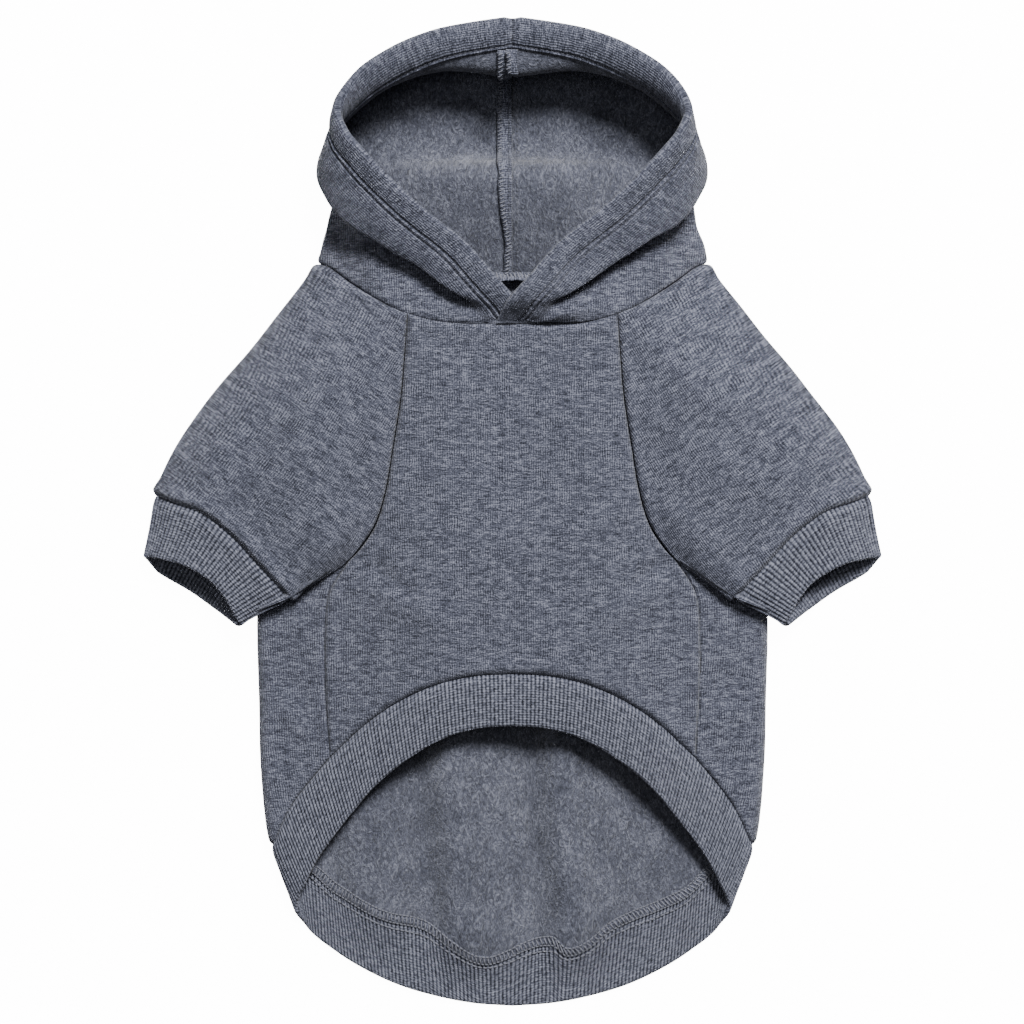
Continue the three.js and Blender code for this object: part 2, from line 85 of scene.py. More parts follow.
# The tables start at the back of the neck; the frame's origin is the middle of the footprint.
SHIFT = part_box("hem_band")[0].y * 1000 + BACK_LENGTH - 0.15
print("back of the neck at y =", round(SHIFT, 2), "mm")

# %% Seams of the body
SPAN = [[0.282, 1.001], [0.493, 1.001], [0.574, 0.994], [0.655, 0.989], [0.736, 0.971],
        [0.775, 0.951], [0.801, 0.918], [0.833, 0.883], [0.869, 0.855]]
ARMPIT = [[0.282, 0.162], [0.314, 0.107], [0.386, 0.024], [0.44, 0]]
CROWN = [[0.05, 1], [0.3, 1], [0.5, 0.93], [0.62, 0.82], [0.87, 0.77]]
SIDE_SEAM = [[0.73, 0.574], [0.734, 0.493], [0.719, 0.431], [0.645, 0.386]]
RAGLAN = [[0.645, 0.386], [0.594, 0.368], [0.533, 0.335], [0.491, 0.287], [0.465, 0.233],
          [0.434, 0.165], [0.42, 0.111], [0.406, 0.047]]
BACK_RAGLAN = [[1.367, 0.386], [1.223, 0.353], [1.057, 0.314], [0.866, 0.282],
               [0.793, 0.25], [0.691, 0.182], [0.553, 0.088], [0.433, -0.006]]
# neck seam in four runs: across, down, share of the chest height
NECK_PANEL = [[0, 0.061, 1], [0.096, 0.061, 1], [0.198, 0.061, 0.992],
              [0.302, 0.057, 0.973], [0.406, 0.047, 0.935]]
NECK_SHOULDER = [[0.48, 0.036, 0.862], [0.563, 0.019, 0.727], [0.64, 0.001, 0.546],
                 [0.724, -0.021, 0.331], [0.769, -0.027, 0.162]]
NECK_UNDER = [[0.714, -0.024, 0], [0.553, -0.012, 0], [0.433, -0.006, 0]]
NECK_BACK = [[0.276, -0.002, 0], [0, 0, 0]]

# %% Hem rib and cuffs
# edge across, edge down, then how far out and up the seam lies, as shares of HEM_DEPTH
HEM_BELLY = [[0, 0.609, 0, 0.966], [0.124, 0.612, 0.099, 0.966], [0.258, 0.625, 0.175, 0.979],
             [0.396, 0.652, 0.241, 1.019], [0.53, 0.69, 0.241, 1.086], [0.645, 0.737, 0.325, 1.127]]
HEM_SIDE = [[0.747, 0.786, 0.5, 0.966], [0.813, 0.829, 0.528, 0.885], [0.856, 0.867, 0.458, 1.221]]
HEM_BACK = [[0.816, 0.89, 0.41, 1.435], [0.716, 0.919, 0.231, 1.542], [0.608, 0.944, 0.307, 1.462],
            [0.462, 0.969, 0.344, 1.368], [0.316, 0.985, 0.25, 1.261], [0.157, 0.996, 0.127, 1.14],
            [0, 1, 0, 1.086]]
# seam out and down from the shoulder (SLEEVE_LENGTH), height, edge out and down from the
# seam (CUFF_DEPTH), height
CUFF_OVER = [[0.084, 1.192, 0.654, 0.859, 0.42, 0.519], [0.121, 1.143, 0.762, 0.781, 0.494, 0.6],
             [0.187, 1.072, 0.777, 0.577, 0.605, 0.635], [0.292, 0.959, 0.762, 0.343, 0.814, 0.638],
             [0.399, 0.88, 0.715, 0.299, 0.913, 0.62], [0.502, 0.844, 0.5, 0.269, 0.963, 0.45],
             [0.575, 0.819, 0.215, 0.187, 1.049, 0.2]]
CUFF_UNDER = [[0.519, 0.839, 0, 0.239, 1.209, 0], [0.403, 0.877, 0, 0.217, 1.37, 0],
              [0.303, 0.952, 0.077, 0.226, 1.32, 0.11], [0.22, 1.039, 0.354, 0.308, 1.135, 0.346],
              [0.138, 1.138, 0.492, 0.608, 0.716, 0.42], [0.084, 1.192, 0.654, 0.859, 0.42, 0.519]]

# %% Hood
# way along the neck seam, then three points from the neck up to the rim: across, share of
# the hood length, share of the hood height
HOOD = [[0.06, 0.05, -0.163, 0.667, -0.01, -0.165, 0.67, -0.06, -0.168, 0.68],
        [0.11, 0.118, -0.143, 0.7, 0.065, -0.111, 0.76, -0.005, -0.083, 0.83],
        [0.17, 0.193, -0.055, 0.64, 0.207, -0.065, 0.8, 0.074, 0.009, 0.9],
        [0.24, 0.27, 0.05, 0.575, 0.341, 0.023, 0.77, 0.184, 0.129, 0.95],
        [0.32, 0.42, 0.165, 0.53, 0.516, 0.134, 0.74, 0.332, 0.244, 0.98],
        [0.4, 0.581, 0.244, 0.48, 0.645, 0.221, 0.67, 0.461, 0.359, 1],
        [0.46, 0.677, 0.332, 0.37, 0.721, 0.318, 0.59, 0.576, 0.475, 1],
        [0.51, 0.737, 0.41, 0.26, 0.756, 0.424, 0.54, 0.65, 0.562, 0.99],
        [0.56, 0.747, 0.507, 0.2, 0.705, 0.562, 0.6, 0.682, 0.659, 0.97],
        [0.65, 0.664, 0.682, 0.17, 0.576, 0.691, 0.63, 0.608, 0.783, 0.94],
        [0.75, 0.525, 0.839, 0.17, 0.438, 0.77, 0.67, 0.47, 0.88, 0.91],
        [0.87, 0.304, 0.926, 0.17, 0.249, 0.815, 0.69, 0.281, 0.954, 0.88],
        [1, 0, 0.972, 0.17, 0, 0.79, 0.69, 0, 1, 0.87]]
# fold across the back of the hood: share of the hood length, share of the hood height
CREASE = [[0, 0.02], [0.1, 0.13], [0.25, 0.28], [0.36, 0.335], [0.41, 0.32], [0.44, 0.25],
          [0.462, 0.12], [0.5, 0.03], [0.56, 0], [1, 0]]

# %% [markdown]
# ## From tables to smooth lines
#
# A few points are enough for a seam if the curve between them is smooth. `read` draws such
# a curve through the rows of a table (a cubic Hermite curve, as animation curves are), and
# `keyed` keys points by their way along the line, so that a share of a seam can be asked
# for. Both work on whole arrays at once, which keeps thousands of points quick.

# %% Curves
def read(rows, keys):
    """Smooth reading of a table whose first column rises; gives the other columns."""
    rows = np.asarray(rows, float)
    key, value = rows[:, 0], rows[:, 1:]
    keys = np.clip(np.asarray(keys, float), key[0], key[-1])
    index = np.arange(len(key))
    before, after = np.maximum(index - 1, 0), np.minimum(index + 1, len(key) - 1)
    slope = (value[after] - value[before]) / (key[after] - key[before])[:, None]
    i = np.clip(np.searchsorted(key, keys, side="right") - 1, 0, len(key) - 2)
    h = (key[i + 1] - key[i])[..., None]
    t = (keys - key[i])[..., None] / h
    return ((2 * t**3 - 3 * t**2 + 1) * value[i] + (t**3 - 2 * t**2 + t) * h * slope[i]
            + (3 * t**2 - 2 * t**3) * value[i + 1] + (t**3 - t**2) * h * slope[i + 1])

def way_along(points):
    """Distance along a line to each of its points."""
    return np.concatenate([[0], np.cumsum(np.linalg.norm(np.diff(points, axis=0), axis=1))])

def keyed(points):
    """The points of a line, each keyed by its share of the way along."""
    points = np.asarray(points, float)
    way = way_along(points)
    return np.column_stack([way / way[-1], points])

def smooth(t):
    t = np.clip(t, 0, 1)
    return t * t * (3 - 2 * t)

def mix(a, b, t):
    return a + (b - a) * t

def both_halves(right, mirror):
    """A grid from the left edge to the right one, from the half whose first column is the middle."""
    return np.concatenate([right[:, :0:-1] * mirror, right], axis=1)

def stations(length, step, tight=(True, True)):
    """Shares of a length about `step` mm apart, closer together at its rolled ends."""
    near = np.array([0, 0.12, 0.35, 0.7, 1.2, 1.9, 2.8])
    start = near if tight[0] else near[:1]
    end = length - near[::-1] if tight[1] else np.array([length])
    count = max(2, int(round((end[0] - start[-1]) / step)))
    middle = np.linspace(start[-1], end[0], count + 1)[1:-1]
    return np.concatenate([start, middle, end]) / length

# %% [markdown]
# ## The shape that the cloth lies over
#
# The empty body lies like a flattened tube: 10 mm high at its side folds and 26 mm high at
# the chest, where the belly panel stands off the back panel. `top_at` gives the height of
# the upper cloth over a spot on the floor. `body_at` walks round the tube from the middle
# of the back, so the back panel can be wrapped round both sides up to its side seams.

# %% Height of the laid body
def span(y):
    return read(SPAN, -y / BACK_LENGTH)[..., 0] * HALF

def side_fold(y):
    return span(y) - read(ARMPIT, -y / BACK_LENGTH)[..., 0] * HALF

def top_at(x, y):
    width = span(y)
    crown = read(CROWN, -y / BACK_LENGTH)[..., 0] * CHEST_HEIGHT
    over = np.maximum(np.abs(x) - (width - FOLD), 0)
    drop = FOLD - np.sqrt(np.maximum(0, FOLD**2 - over**2))
    return mix(SIDE_HEIGHT, crown, smooth((1 - np.abs(x) / width) / 0.75)) - drop

def body_at(way, y):
    """Point at a way round from the middle of the back."""
    side = np.where(way < 0, -1, 1)
    flat = side_fold(y) - FOLD
    past = np.abs(way) - flat
    turn = np.clip(past / FOLD, 0, np.pi)
    x = np.where(past <= 0, np.abs(way), flat + FOLD * np.sin(turn))
    z = FOLD * (1 - np.cos(turn))
    over = past > np.pi * FOLD
    x = np.where(over, flat - (past - np.pi * FOLD), x)
    z = np.where(over, np.maximum(SIDE_HEIGHT, top_at(x, y)), z)
    return np.stack([side * x, y, z], axis=-1)

def way_on_top(x, y):
    return 2 * (side_fold(y) - FOLD) + np.pi * FOLD - x

# %% The seam lines in mm
def on_top(rows):
    rows = np.array(rows, float)
    x, y = rows[:, 0] * HALF, -rows[:, 1] * BACK_LENGTH
    return np.column_stack([x, y, top_at(x, y)])

def neck_run(rows):
    return np.array(rows, float) * [HALF, -BACK_LENGTH, CHEST_HEIGHT]

neck_panel = neck_run(NECK_PANEL)
neck_shoulder = np.vstack([neck_panel[-1:], neck_run(NECK_SHOULDER)])
neck_under = np.vstack([neck_shoulder[-1:], neck_run(NECK_UNDER)])
neck_nape = np.vstack([neck_under[-1:], neck_run(NECK_BACK)])
neck_front, neck_sleeve, neck_below = keyed(neck_panel), keyed(neck_shoulder), keyed(neck_under)
neck_all = keyed(np.vstack([neck_panel, neck_run(NECK_SHOULDER + NECK_UNDER + NECK_BACK)]))

def hem_run(rows, depth, high):
    rows = np.array(rows, float)
    x = rows[:, 0] * HALF + rows[:, 2] * depth
    y = -rows[:, 1] * BACK_LENGTH + rows[:, 3] * depth
    return np.column_stack([x, y, top_at(x, y) if high else x * 0])

def hem_line(depth):
    side = hem_run(HEM_SIDE, depth, True)
    side[-1, 2] = FOLD
    return hem_run(HEM_BELLY, depth, True), np.vstack([side, hem_run(HEM_BACK, depth, False)])

seam_belly, seam_rest = hem_line(HEM_DEPTH)
edge_belly, edge_rest = hem_line(0)
side_seam = keyed(np.vstack([seam_belly[-1:], on_top(SIDE_SEAM)]))
raglan = keyed(on_top(RAGLAN))
back_raglan = keyed(np.array(BACK_RAGLAN) * [HALF, -BACK_LENGTH])
print("hem seam on the belly:", round(2 * keyed(seam_belly)[-1, 1], 1), "mm across")

# %% [markdown]
# ## Folds
#
# Soft cloth is never quite flat. Three things move its surface here. `waves` is a slow,
# even unrest made of a few crossed sine waves. `creases` raises or sinks the cloth along
# short lines, which is how the pull at an underarm shows. `hem_wave` shifts the lower seam
# of the back up and down between the vertical folds of the back panel, because that seam is
# slightly stretched in the sewing and relaxes into a wavy line.

# %% Slow unrest
def waves(x, y, length, seed):
    """Even unrest from -1 to 1 with folds about `length` mm apart."""
    total = np.zeros(np.broadcast(x, y).shape)
    for k in range(7):
        angle = 0.9 * seed + 2.399 * k
        size = length * (0.7 + 0.13 * k)
        total += np.sin(2 * np.pi * (x * np.cos(angle) + y * np.sin(angle)) / size + 1.7 * seed * (k + 1))
    return total / 4

# %% Creases: x, y from and to in mm, height, half width
CREASES = [
    (-66, -116, -34, -139, -1.9, 4.5), (-60, -124, -22, -150, 1.6, 7.0),
    (69, -115, 44, -136, -1.5, 4.5), (64, -123, 34, -148, 1.3, 7.0),
    (-52, -92, -30, -112, 0.9, 6.0), (54, -90, 30, -108, 0.7, 6.0),
    (-100, -178, -84, -196, 1.0, 4.0), (-103, -165, -84, -178, -0.8, 4.0),
    (101, -176, 84, -192, 0.9, 4.0), (96, -196, 84, -208, -0.9, 3.5),
    (-18, -60, -10, -150, 0.9, 13.0), (16, -70, 22, -160, -0.8, 12.0),
    (88, -130, 92, -170, 0.8, 5.0), (-90, -128, -94, -160, 0.7, 5.0),
]

def creases(x, y, table=CREASES):
    total = np.zeros(np.broadcast(x, y).shape)
    for x0, y0, x1, y1, height, width in table:
        dx, dy = x1 - x0, y1 - y0
        long = np.hypot(dx, dy)
        along = ((x - x0) * dx + (y - y0) * dy) / long**2
        off = ((x - x0) * dy - (y - y0) * dx) / long
        total += height * np.exp(-(off / width) ** 2) * smooth(along / 0.35) * smooth((1 - along) / 0.35)
    return total

# %% The wavy seam and the folds of the back
# across the back, and shift of the seam towards the neck, in mm
SEAM_WAVE = [[-95, 0], [-82, -1.5], [-70, 0.5], [-62, 1.0], [-53, 1.5], [-38, 3.5], [-27, -0.5],
             [-16, -5.0], [-9, -4.8], [4, 1.2], [17, 2.6], [23, -3.2], [32, -3.0], [41, 1.5],
             [52, 2.6], [63, 1.2], [76, -1.5], [95, 0]]
# across the back, and height: each fold rises steeply on its left and falls slowly on its right
FOLDS = [[-95, 0], [-77, 0.3], [-66, 3.8], [-54, 3.2], [-37, 0.6], [-25, 6.8], [-13, 5.6],
         [0, 3.2], [10.5, 1.0], [22, 6.8], [34, 5.0], [48, 2.4], [62, 0.8], [95, 0]]

def hem_wave(points):
    """Shifts the back layer near its hem seam, in place, and lifts its vertical folds."""
    x, y, z = points[..., 0], points[..., 1], points[..., 2]
    line = read(keyed_x(seam_rest), np.abs(x))[..., 0]
    lower = np.clip(1 - z / 5, 0, 1)
    points[..., 1] = y + read(SEAM_WAVE, x)[..., 0] * np.exp(-((y - line) / 11) ** 2) * lower
    fade = smooth((y - (line - 20)) / 26) * smooth((-120 - y) / 60)
    points[..., 2] = z + read(FOLDS, x + 2 * np.sin(y / 19))[..., 0] * fade * lower
    return points

def keyed_x(line):
    """The back part of the hem seam as a table of y against x."""
    return line[line[:, 2] == 0][::-1, :2]

# %% [markdown]
# ## Making cloth
#
# Each panel starts as a grid of points on its outer face. `wall` gives the grid its
# thickness by stepping inwards along the normals, and closes it into one solid. Where two
# panels are sewn, their edges roll down into the seam: the outer face falls away in a
# quarter round, and the pair of rolled edges makes the dark crease that shows as a seam.
# At a folded edge, such as the rim of a cuff, both faces round off and meet. Every face
# gets its place on the cut, in millimetres, as its UV, so that the knit follows the cloth.

# %% Normals and ways in from the edges
def normals(grid, ring, side):
    """Outward directions at the points of a grid; `side` is -1 where its faces run clockwise."""
    a, b = (grid, np.roll(grid, -1, axis=1)) if ring else (grid[:, :-1], grid[:, 1:])
    face = side * np.cross(b[1:] - a[:-1], a[1:] - b[:-1])
    total = np.zeros_like(grid)
    if ring:
        both = face + np.roll(face, 1, axis=1)
        total[:-1] += both
        total[1:] += both
    else:
        for rows in (slice(None, -1), slice(1, None)):
            total[rows, :-1] += face
            total[rows, 1:] += face
    return total / np.maximum(np.linalg.norm(total, axis=2, keepdims=True), 1e-9)

def ways_in(grid, axis):
    """Distance along the grid from its first and from its last row (axis 0) or column."""
    step = np.linalg.norm(np.diff(grid, axis=axis), axis=2)
    way = np.concatenate([np.zeros_like(np.take(step, [0], axis)), np.cumsum(step, axis)], axis)
    return way, np.take(way, [-1], axis) - way

def quarter_round(way, reach, depth):
    return depth * (1 - np.sqrt(1 - np.clip(1 - way / reach, 0, 0.995) ** 2))

# %% The wall
# how an edge rolls in: reach and depth on the outer face, then on the inner face, in mm
SEAM = (2.6, 1.7, 1, 0)
CENTRE = (2.6, 0.7, 3.0, 2.2)
OPEN = (1, 0, 1, 0)
RIM = None                     # folded edge: both faces round off over half the thickness

def wall(name, grid, thick, side, cut, ring=False, ends=(SEAM, SEAM), sides=(SEAM, SEAM),
         inside=None, shape=0, inner_shape=0):
    """Closed wall over a grid of outer points, all in mm. `cut` is each point's place on the
    cut; `inside` says which faces inside have the second material; `shape` and
    `inner_shape` are the relief of the two faces."""
    rows, cols = grid.shape[:2]
    thick = np.broadcast_to(np.asarray(thick, float), (rows, cols))
    out = normals(grid, ring, side)
    outer_drop, inner_drop = np.zeros((rows, cols)), np.zeros((rows, cols))
    edges = list(zip(ways_in(grid, 0), ends))
    if not ring:
        edges += list(zip(ways_in(grid, 1), sides))
    for way, edge in edges:
        reach, depth, inner_reach, inner_depth = edge or (thick / 2, thick * 0.48) * 2
        depth = np.minimum(depth, thick - 0.5)
        inner_depth = np.minimum(inner_depth, thick * 0.58)
        outer_drop = np.maximum(outer_drop, quarter_round(way, reach, depth))
        inner_drop = np.maximum(inner_drop, quarter_round(way, inner_reach, inner_depth))
    outer = grid - out * (outer_drop - shape)[..., None]
    inner = grid - out * (thick - inner_drop + inner_shape)[..., None]
    outer[..., 2] = np.maximum(outer[..., 2], 0)
    inner[..., 2] = np.maximum(inner[..., 2], 0.3)
    build(name, outer, inner, cut, ring, inside)
    return {"outer": outer, "inner": inner, "out": out}

# %% Faces, UVs and the object
def build(name, outer, inner, cut, ring, inside):
    rows, cols = outer.shape[:2]
    spans = cols if ring else cols - 1
    number = np.arange(rows * cols).reshape(rows, cols)
    right = np.roll(number, -1, axis=1) if ring else number[:, 1:]
    left = number if ring else number[:, :-1]
    place = np.arange(rows)[:, None] * cut.shape[1] + np.arange(spans)
    top = np.stack([left[:-1], right[:-1], right[1:], left[1:]], -1).reshape(-1, 4)
    top_cut = np.stack([place[:-1], place[:-1] + 1, place[1:] + 1, place[1:]], -1).reshape(-1, 4)
    count = rows * cols
    faces, cuts = [top, top[:, ::-1] + count], [top_cut, top_cut[:, ::-1]]
    look = [np.zeros(len(top), int)]
    look.append(np.ones(len(top), int) if inside is None else inside[:-1, :spans].astype(int).ravel())
    for j, flip in ((0, 1), (rows - 1, -1)):
        a, b = left[j], right[j]
        faces.append(np.stack([a + count, b + count, b, a], -1)[:, ::flip])
        cuts.append(np.stack([place[j], place[j] + 1, place[j] + 1, place[j]], -1)[:, ::flip])
        look.append(np.zeros(len(a), int))
    if not ring:
        for i, flip in ((0, -1), (cols - 1, 1)):
            a, b = number[:-1, i], number[1:, i]
            k = np.arange(rows - 1) * cut.shape[1] + i
            faces.append(np.stack([a + count, b + count, b, a], -1)[:, ::flip])
            cuts.append(np.stack([k, k + cut.shape[1], k + cut.shape[1], k], -1)[:, ::flip])
            look.append(np.zeros(len(a), int))
    points = np.concatenate([outer.reshape(-1, 3), inner.reshape(-1, 3)])
    solid(name, points, np.concatenate(faces), cut.reshape(-1, 2)[np.concatenate(cuts)], np.concatenate(look))

def solid(name, points, faces, places, look=None):
    """One mesh object from points in mm; faces are turned outwards if they point in."""
    p = points[faces]
    volume = np.einsum("ij,ij->i", p[:, 0], np.cross(p[:, 1], p[:, 2])).sum()
    volume += np.einsum("ij,ij->i", p[:, 0], np.cross(p[:, 2], p[:, -1])).sum()
    if volume < 0:
        faces, places = faces[:, ::-1], places[:, ::-1]
    mesh = bpy.data.meshes.new(name)
    mesh.from_pydata(((points + [0, SHIFT, 0]) / 1000).tolist(), [], faces.tolist())
    mesh.uv_layers.new(name="cut").data.foreach_set("uv", places.astype(np.float32).ravel())
    mesh.polygons.foreach_set("use_smooth", np.ones(len(faces), bool))
    if look is not None:
        mesh.polygons.foreach_set("material_index", look.astype(np.int32))
    piece = bpy.data.objects.new(name, mesh)
    bpy.context.scene.collection.objects.link(piece)
    print(f"{name}: {2 * len(faces)} triangles, {abs(volume) / 6000:.1f} ml")
    return piece

# %% [markdown]
# ## Belly panel
#
# The belly panel runs from the arched hem seam up to the neck, between the side seams and
# the front raglan seams. Its rows follow those side edges, so that the sleeves and the back
# panel meet it line on line. It is cut with the wales of the knit running up the body, so
# its place on the cut is simply its x and y.

# %% Belly panel
def belly_grid():
    edge = np.concatenate([read(side_seam, stations(SIDE_SEAM_LONG, 1.5, (True, False))),
                           read(raglan, stations(RAGLAN_LONG, 1.1, (False, True)))[1:]])
    low, high = seam_belly[-1], neck_panel[-1]
    half = stations(78, 1.1, (False, True))
    arch, neck = read(keyed(seam_belly), half), read(neck_front, half)
    up = ((edge[:, 1] - edge[0, 1]) / (edge[-1, 1] - edge[0, 1]))[:, None]
    x = mix(arch[:, 0] / low[0], neck[:, 0] / high[0], up) * edge[:, :1]
    y = edge[:, 1:2] + (1 - up) * (arch[:, 1] - low[1]) + up * (neck[:, 1] - high[1])
    z = mix(top_at(x, y), neck[:, 2], smooth(up * 8 - 7))
    return both_halves(np.stack([x, y, z], -1), [-1, 1, 1])

grid = belly_grid()
x, y = grid[..., 0], grid[..., 1]
unrest = 0.55 * waves(x, y, 46, 3) + creases(x, y)
from_seam = np.minimum.reduce([*ways_in(grid, 0), *ways_in(grid, 1)])
# the cloth also swells a little beside each seam
swell = 0.5 * smooth(from_seam / 2.5) * (1 - smooth((from_seam - 3) / 6))
wall("belly_cloth", grid, CLOTH, 1, grid[..., :2].copy(), shape=unrest * smooth(from_seam / 9) + swell)

# %% [markdown]
# ## Back panel
#
# The back panel lies on the floor, turns up round both side folds and ends at the side
# seams on the belly side. The way round the body is also its width on the cut. Its brushed
# inside is what the hem arch lets the eye see, with soft vertical folds and the wavy seam.

# %% Back panel
def back_grid():
    ways = [seam_rest[seam_rest[:, 2] == 0][::-1, :2]]
    fold = seam_rest[2]
    ways.append([[side_fold(fold[1]) - FOLD + np.pi * FOLD / 2, fold[1]]])
    upper = np.vstack([seam_belly[-1:], seam_rest[:2]])[::-1]
    ways.append(np.column_stack([way_on_top(upper[:, 0], upper[:, 1]), upper[:, 1]]))
    ways = np.vstack(ways)
    bottom = np.column_stack([ways[:, 0] / ways[-1, 0], ways[:, 1]])
    top = np.column_stack([neck_nape[::-1, 0] / neck_nape[0, 0], neck_nape[::-1, 1]])
    seam_rows = stations(SIDE_SEAM_LONG, 1.6, (True, False))
    raglan_rows = stations(BACK_RAGLAN_LONG, 1.5, (False, True))[1:]
    side = read(side_seam, seam_rows)
    edge = np.vstack([np.column_stack([way_on_top(side[:, 0], side[:, 1]), side[:, 1]]),
                      read(back_raglan, raglan_rows)])
    # rows are keyed as in the CAD: five steps up the side seam and eight up the raglan
    up = np.concatenate([seam_rows * 5 / 13, 5 / 13 + raglan_rows * 8 / 13])
    half = stations(143, 1.45, (False, True))
    w, y, up = edge[:, :1], edge[:, 1:2], up[:, None]
    between = mix(read(bottom, half)[:, 0], read(top, half)[:, 0], up)
    py = between + (y - between[:, -1:]) * half**3
    right = body_at(half * w, py)
    right[-1, :, 2] = 0
    way = np.stack([half * w, py], -1)
    return both_halves(right, [-1, 1, 1]), both_halves(way, [-1, 1])

grid, cut = back_grid()
x, y, z = grid[..., 0], grid[..., 1], grid[..., 2]
upper = smooth((z - 5) / 4)
from_seam = np.minimum.reduce([*ways_in(grid, 0), *ways_in(grid, 1)])
unrest = (0.5 * waves(x, y, 40, 5) + creases(x, y)) * upper * smooth(from_seam / 8)
hem_wave(grid)
wall("back_cloth", grid, CLOTH, -1, cut, shape=unrest)

# %% [markdown]
# ## Sleeves
#
# A raglan sleeve starts at the underarm, the raglan seams and the neck, and ends in the
# cuff seam. Each ring of its grid is one loop round the arm. A ring is counted from 0 to
# 25: 0 to 8 up the front raglan seam, to 13 along the neck to the shoulder fold, to 17
# under the neck and back down the back raglan seam to 25. The left sleeve is the right one
# mirrored, with its own unrest. The wales run down the sleeve, so the cut is turned.

# %% Rings of the armhole and the cuff
SHOULDER = 13
NAPE = 17
ROUND = 25
shoulder = neck_shoulder[-1]

def armhole(s):
    parts = [(0, 8, lambda t: read(raglan, t)), (8, SHOULDER, lambda t: read(neck_sleeve, t)),
             (SHOULDER, NAPE, lambda t: read(neck_below, t)),
             (NAPE, ROUND, lambda t: body_at(*read(back_raglan, 1 - t).T))]
    points = np.zeros((len(s), 3))
    for first, last, line in parts:
        on = (s >= first) & (s <= last)
        points[on] = line((s[on] - first) / (last - first))
    return points

def cuff_points(rows, edge):
    rows = np.array(rows, float)
    points = np.column_stack([shoulder[0] + rows[:, 0] * SLEEVE_LENGTH,
                              shoulder[1] - rows[:, 1] * SLEEVE_LENGTH, rows[:, 2] * CHEST_HEIGHT])
    if edge:
        points[:, 0] += rows[:, 3] * CUFF_DEPTH
        points[:, 1] -= rows[:, 4] * CUFF_DEPTH
        points[:, 2] = rows[:, 5] * CHEST_HEIGHT
    return points

def cuff_ring(s, edge):
    over = cuff_points(CUFF_OVER, edge)
    under = keyed(np.vstack([over[-1:], cuff_points(CUFF_UNDER, edge)]))
    upper = (s <= SHOULDER)[:, None]
    ring = np.where(upper, read(keyed(over), s / SHOULDER),
                    read(under, (s - SHOULDER) / (ROUND - SHOULDER)))
    ring[:, 2] = np.maximum(ring[:, 2], 0)
    return ring

# %% The sleeve
def sleeve_grid():
    """Rows from the armhole to the cuff seam, and the count of each column round the ring."""
    runs = ((0, 8, 100), (8, SHOULDER, 62), (SHOULDER, NAPE, 34), (NAPE, ROUND, 90))
    s = np.concatenate([np.linspace(first, last, count)[:-1] for first, last, count in runs])
    start, end = armhole(s), cuff_ring(s, False)
    top = np.argmin(abs(s - SHOULDER))
    along = end[top] - start[top]
    out = np.array([-along[1], along[0], 0]) / np.hypot(along[0], along[1])
    v = stations(105, 1.25)[:, None]
    # the shoulder fold bows out, the upper cloth puffs up, and the underarm lifts off the floor
    bulge = np.sin(np.pi * v * v) * 4.4 * np.sin(np.pi * np.minimum(s, 26 - s) / 26) ** 2
    puff = np.sqrt(np.sin(np.pi * np.clip(s, 0, SHOULDER) / SHOULDER).clip(0)) * 4
    lift = np.where(s > 20, np.sin(np.pi * (s - 20) / 5), 0) * 4
    grid = mix(start, end, v[..., None])
    grid[..., 2] = mix(start[:, 2], end[:, 2], smooth(v)) + np.sin(np.pi * v) ** 2 * puff
    grid[..., 2] += 4 * v * (1 - v) * lift
    grid += out * bulge[..., None]
    return grid, s

AXIS = np.array([0.55, -0.835])         # down the right sleeve, across and up

def turned_cut(grid):
    """Place on a cut whose wales run down the sleeve."""
    flat = grid[..., :2]
    place = np.stack([flat @ np.array([-AXIS[1], AXIS[0]]), flat @ AXIS], -1)
    place[..., 0] += 0.7 * grid[..., 2]
    return np.concatenate([place, place[:, :1]], axis=1)

SLEEVE_CREASES = [(75, -62, 112, -96, 1.1, 7), (92, -52, 128, -84, -0.9, 6), (62, -92, 84, -118, 1.0, 6),
                  (70, -30, 88, -66, 0.8, 8), (60, -60, 70, -100, -0.8, 6), (108, -62, 138, -84, 0.8, 5)]
for name, hand, seed, creased in (("right", 1, 7, 1), ("left", -1, 11, 0.8)):
    grid, ring_count = sleeve_grid()
    x, y = grid[..., 0], grid[..., 1]
    body_side, cuff_side = ways_in(grid, 0)
    unrest = 0.45 * waves(x, y, 38, seed) + creases(x, y, SLEEVE_CREASES) * creased
    unrest = unrest * smooth(body_side / 8) * smooth(cuff_side / 8)
    unrest = unrest + 0.45 * smooth(body_side / 2.5) * (1 - smooth((body_side - 3) / 6))
    unrest = unrest + 1.1 * smooth(cuff_side / 2.2) * (1 - smooth((cuff_side - 2) / 7))
    upper = np.where(ring_count < 14, 1, 0.35)
    wall(f"sleeve_cloth_{name}", grid * [hand, 1, 1], CLOTH, -hand, turned_cut(grid) * [hand, 1],
         ring=True, shape=unrest * upper)

# %% [markdown]
# ## Ribbed cuffs and hem
#
# One-by-one rib is knitted in columns: a raised wale, then a sunk one. Here the ribs are
# real relief, 1.7 mm apart, with about six points to each rib, so they also show in the
# outline and in the shadow. They run from the seam to the edge, where the rib is folded
# over, and the inner layer is the same rib seen from its back. The seam pulls it in a
# little, so the rib starts lower than the cloth that it is sewn to.

# %% Rib relief
RIB_DEPTH = 0.8

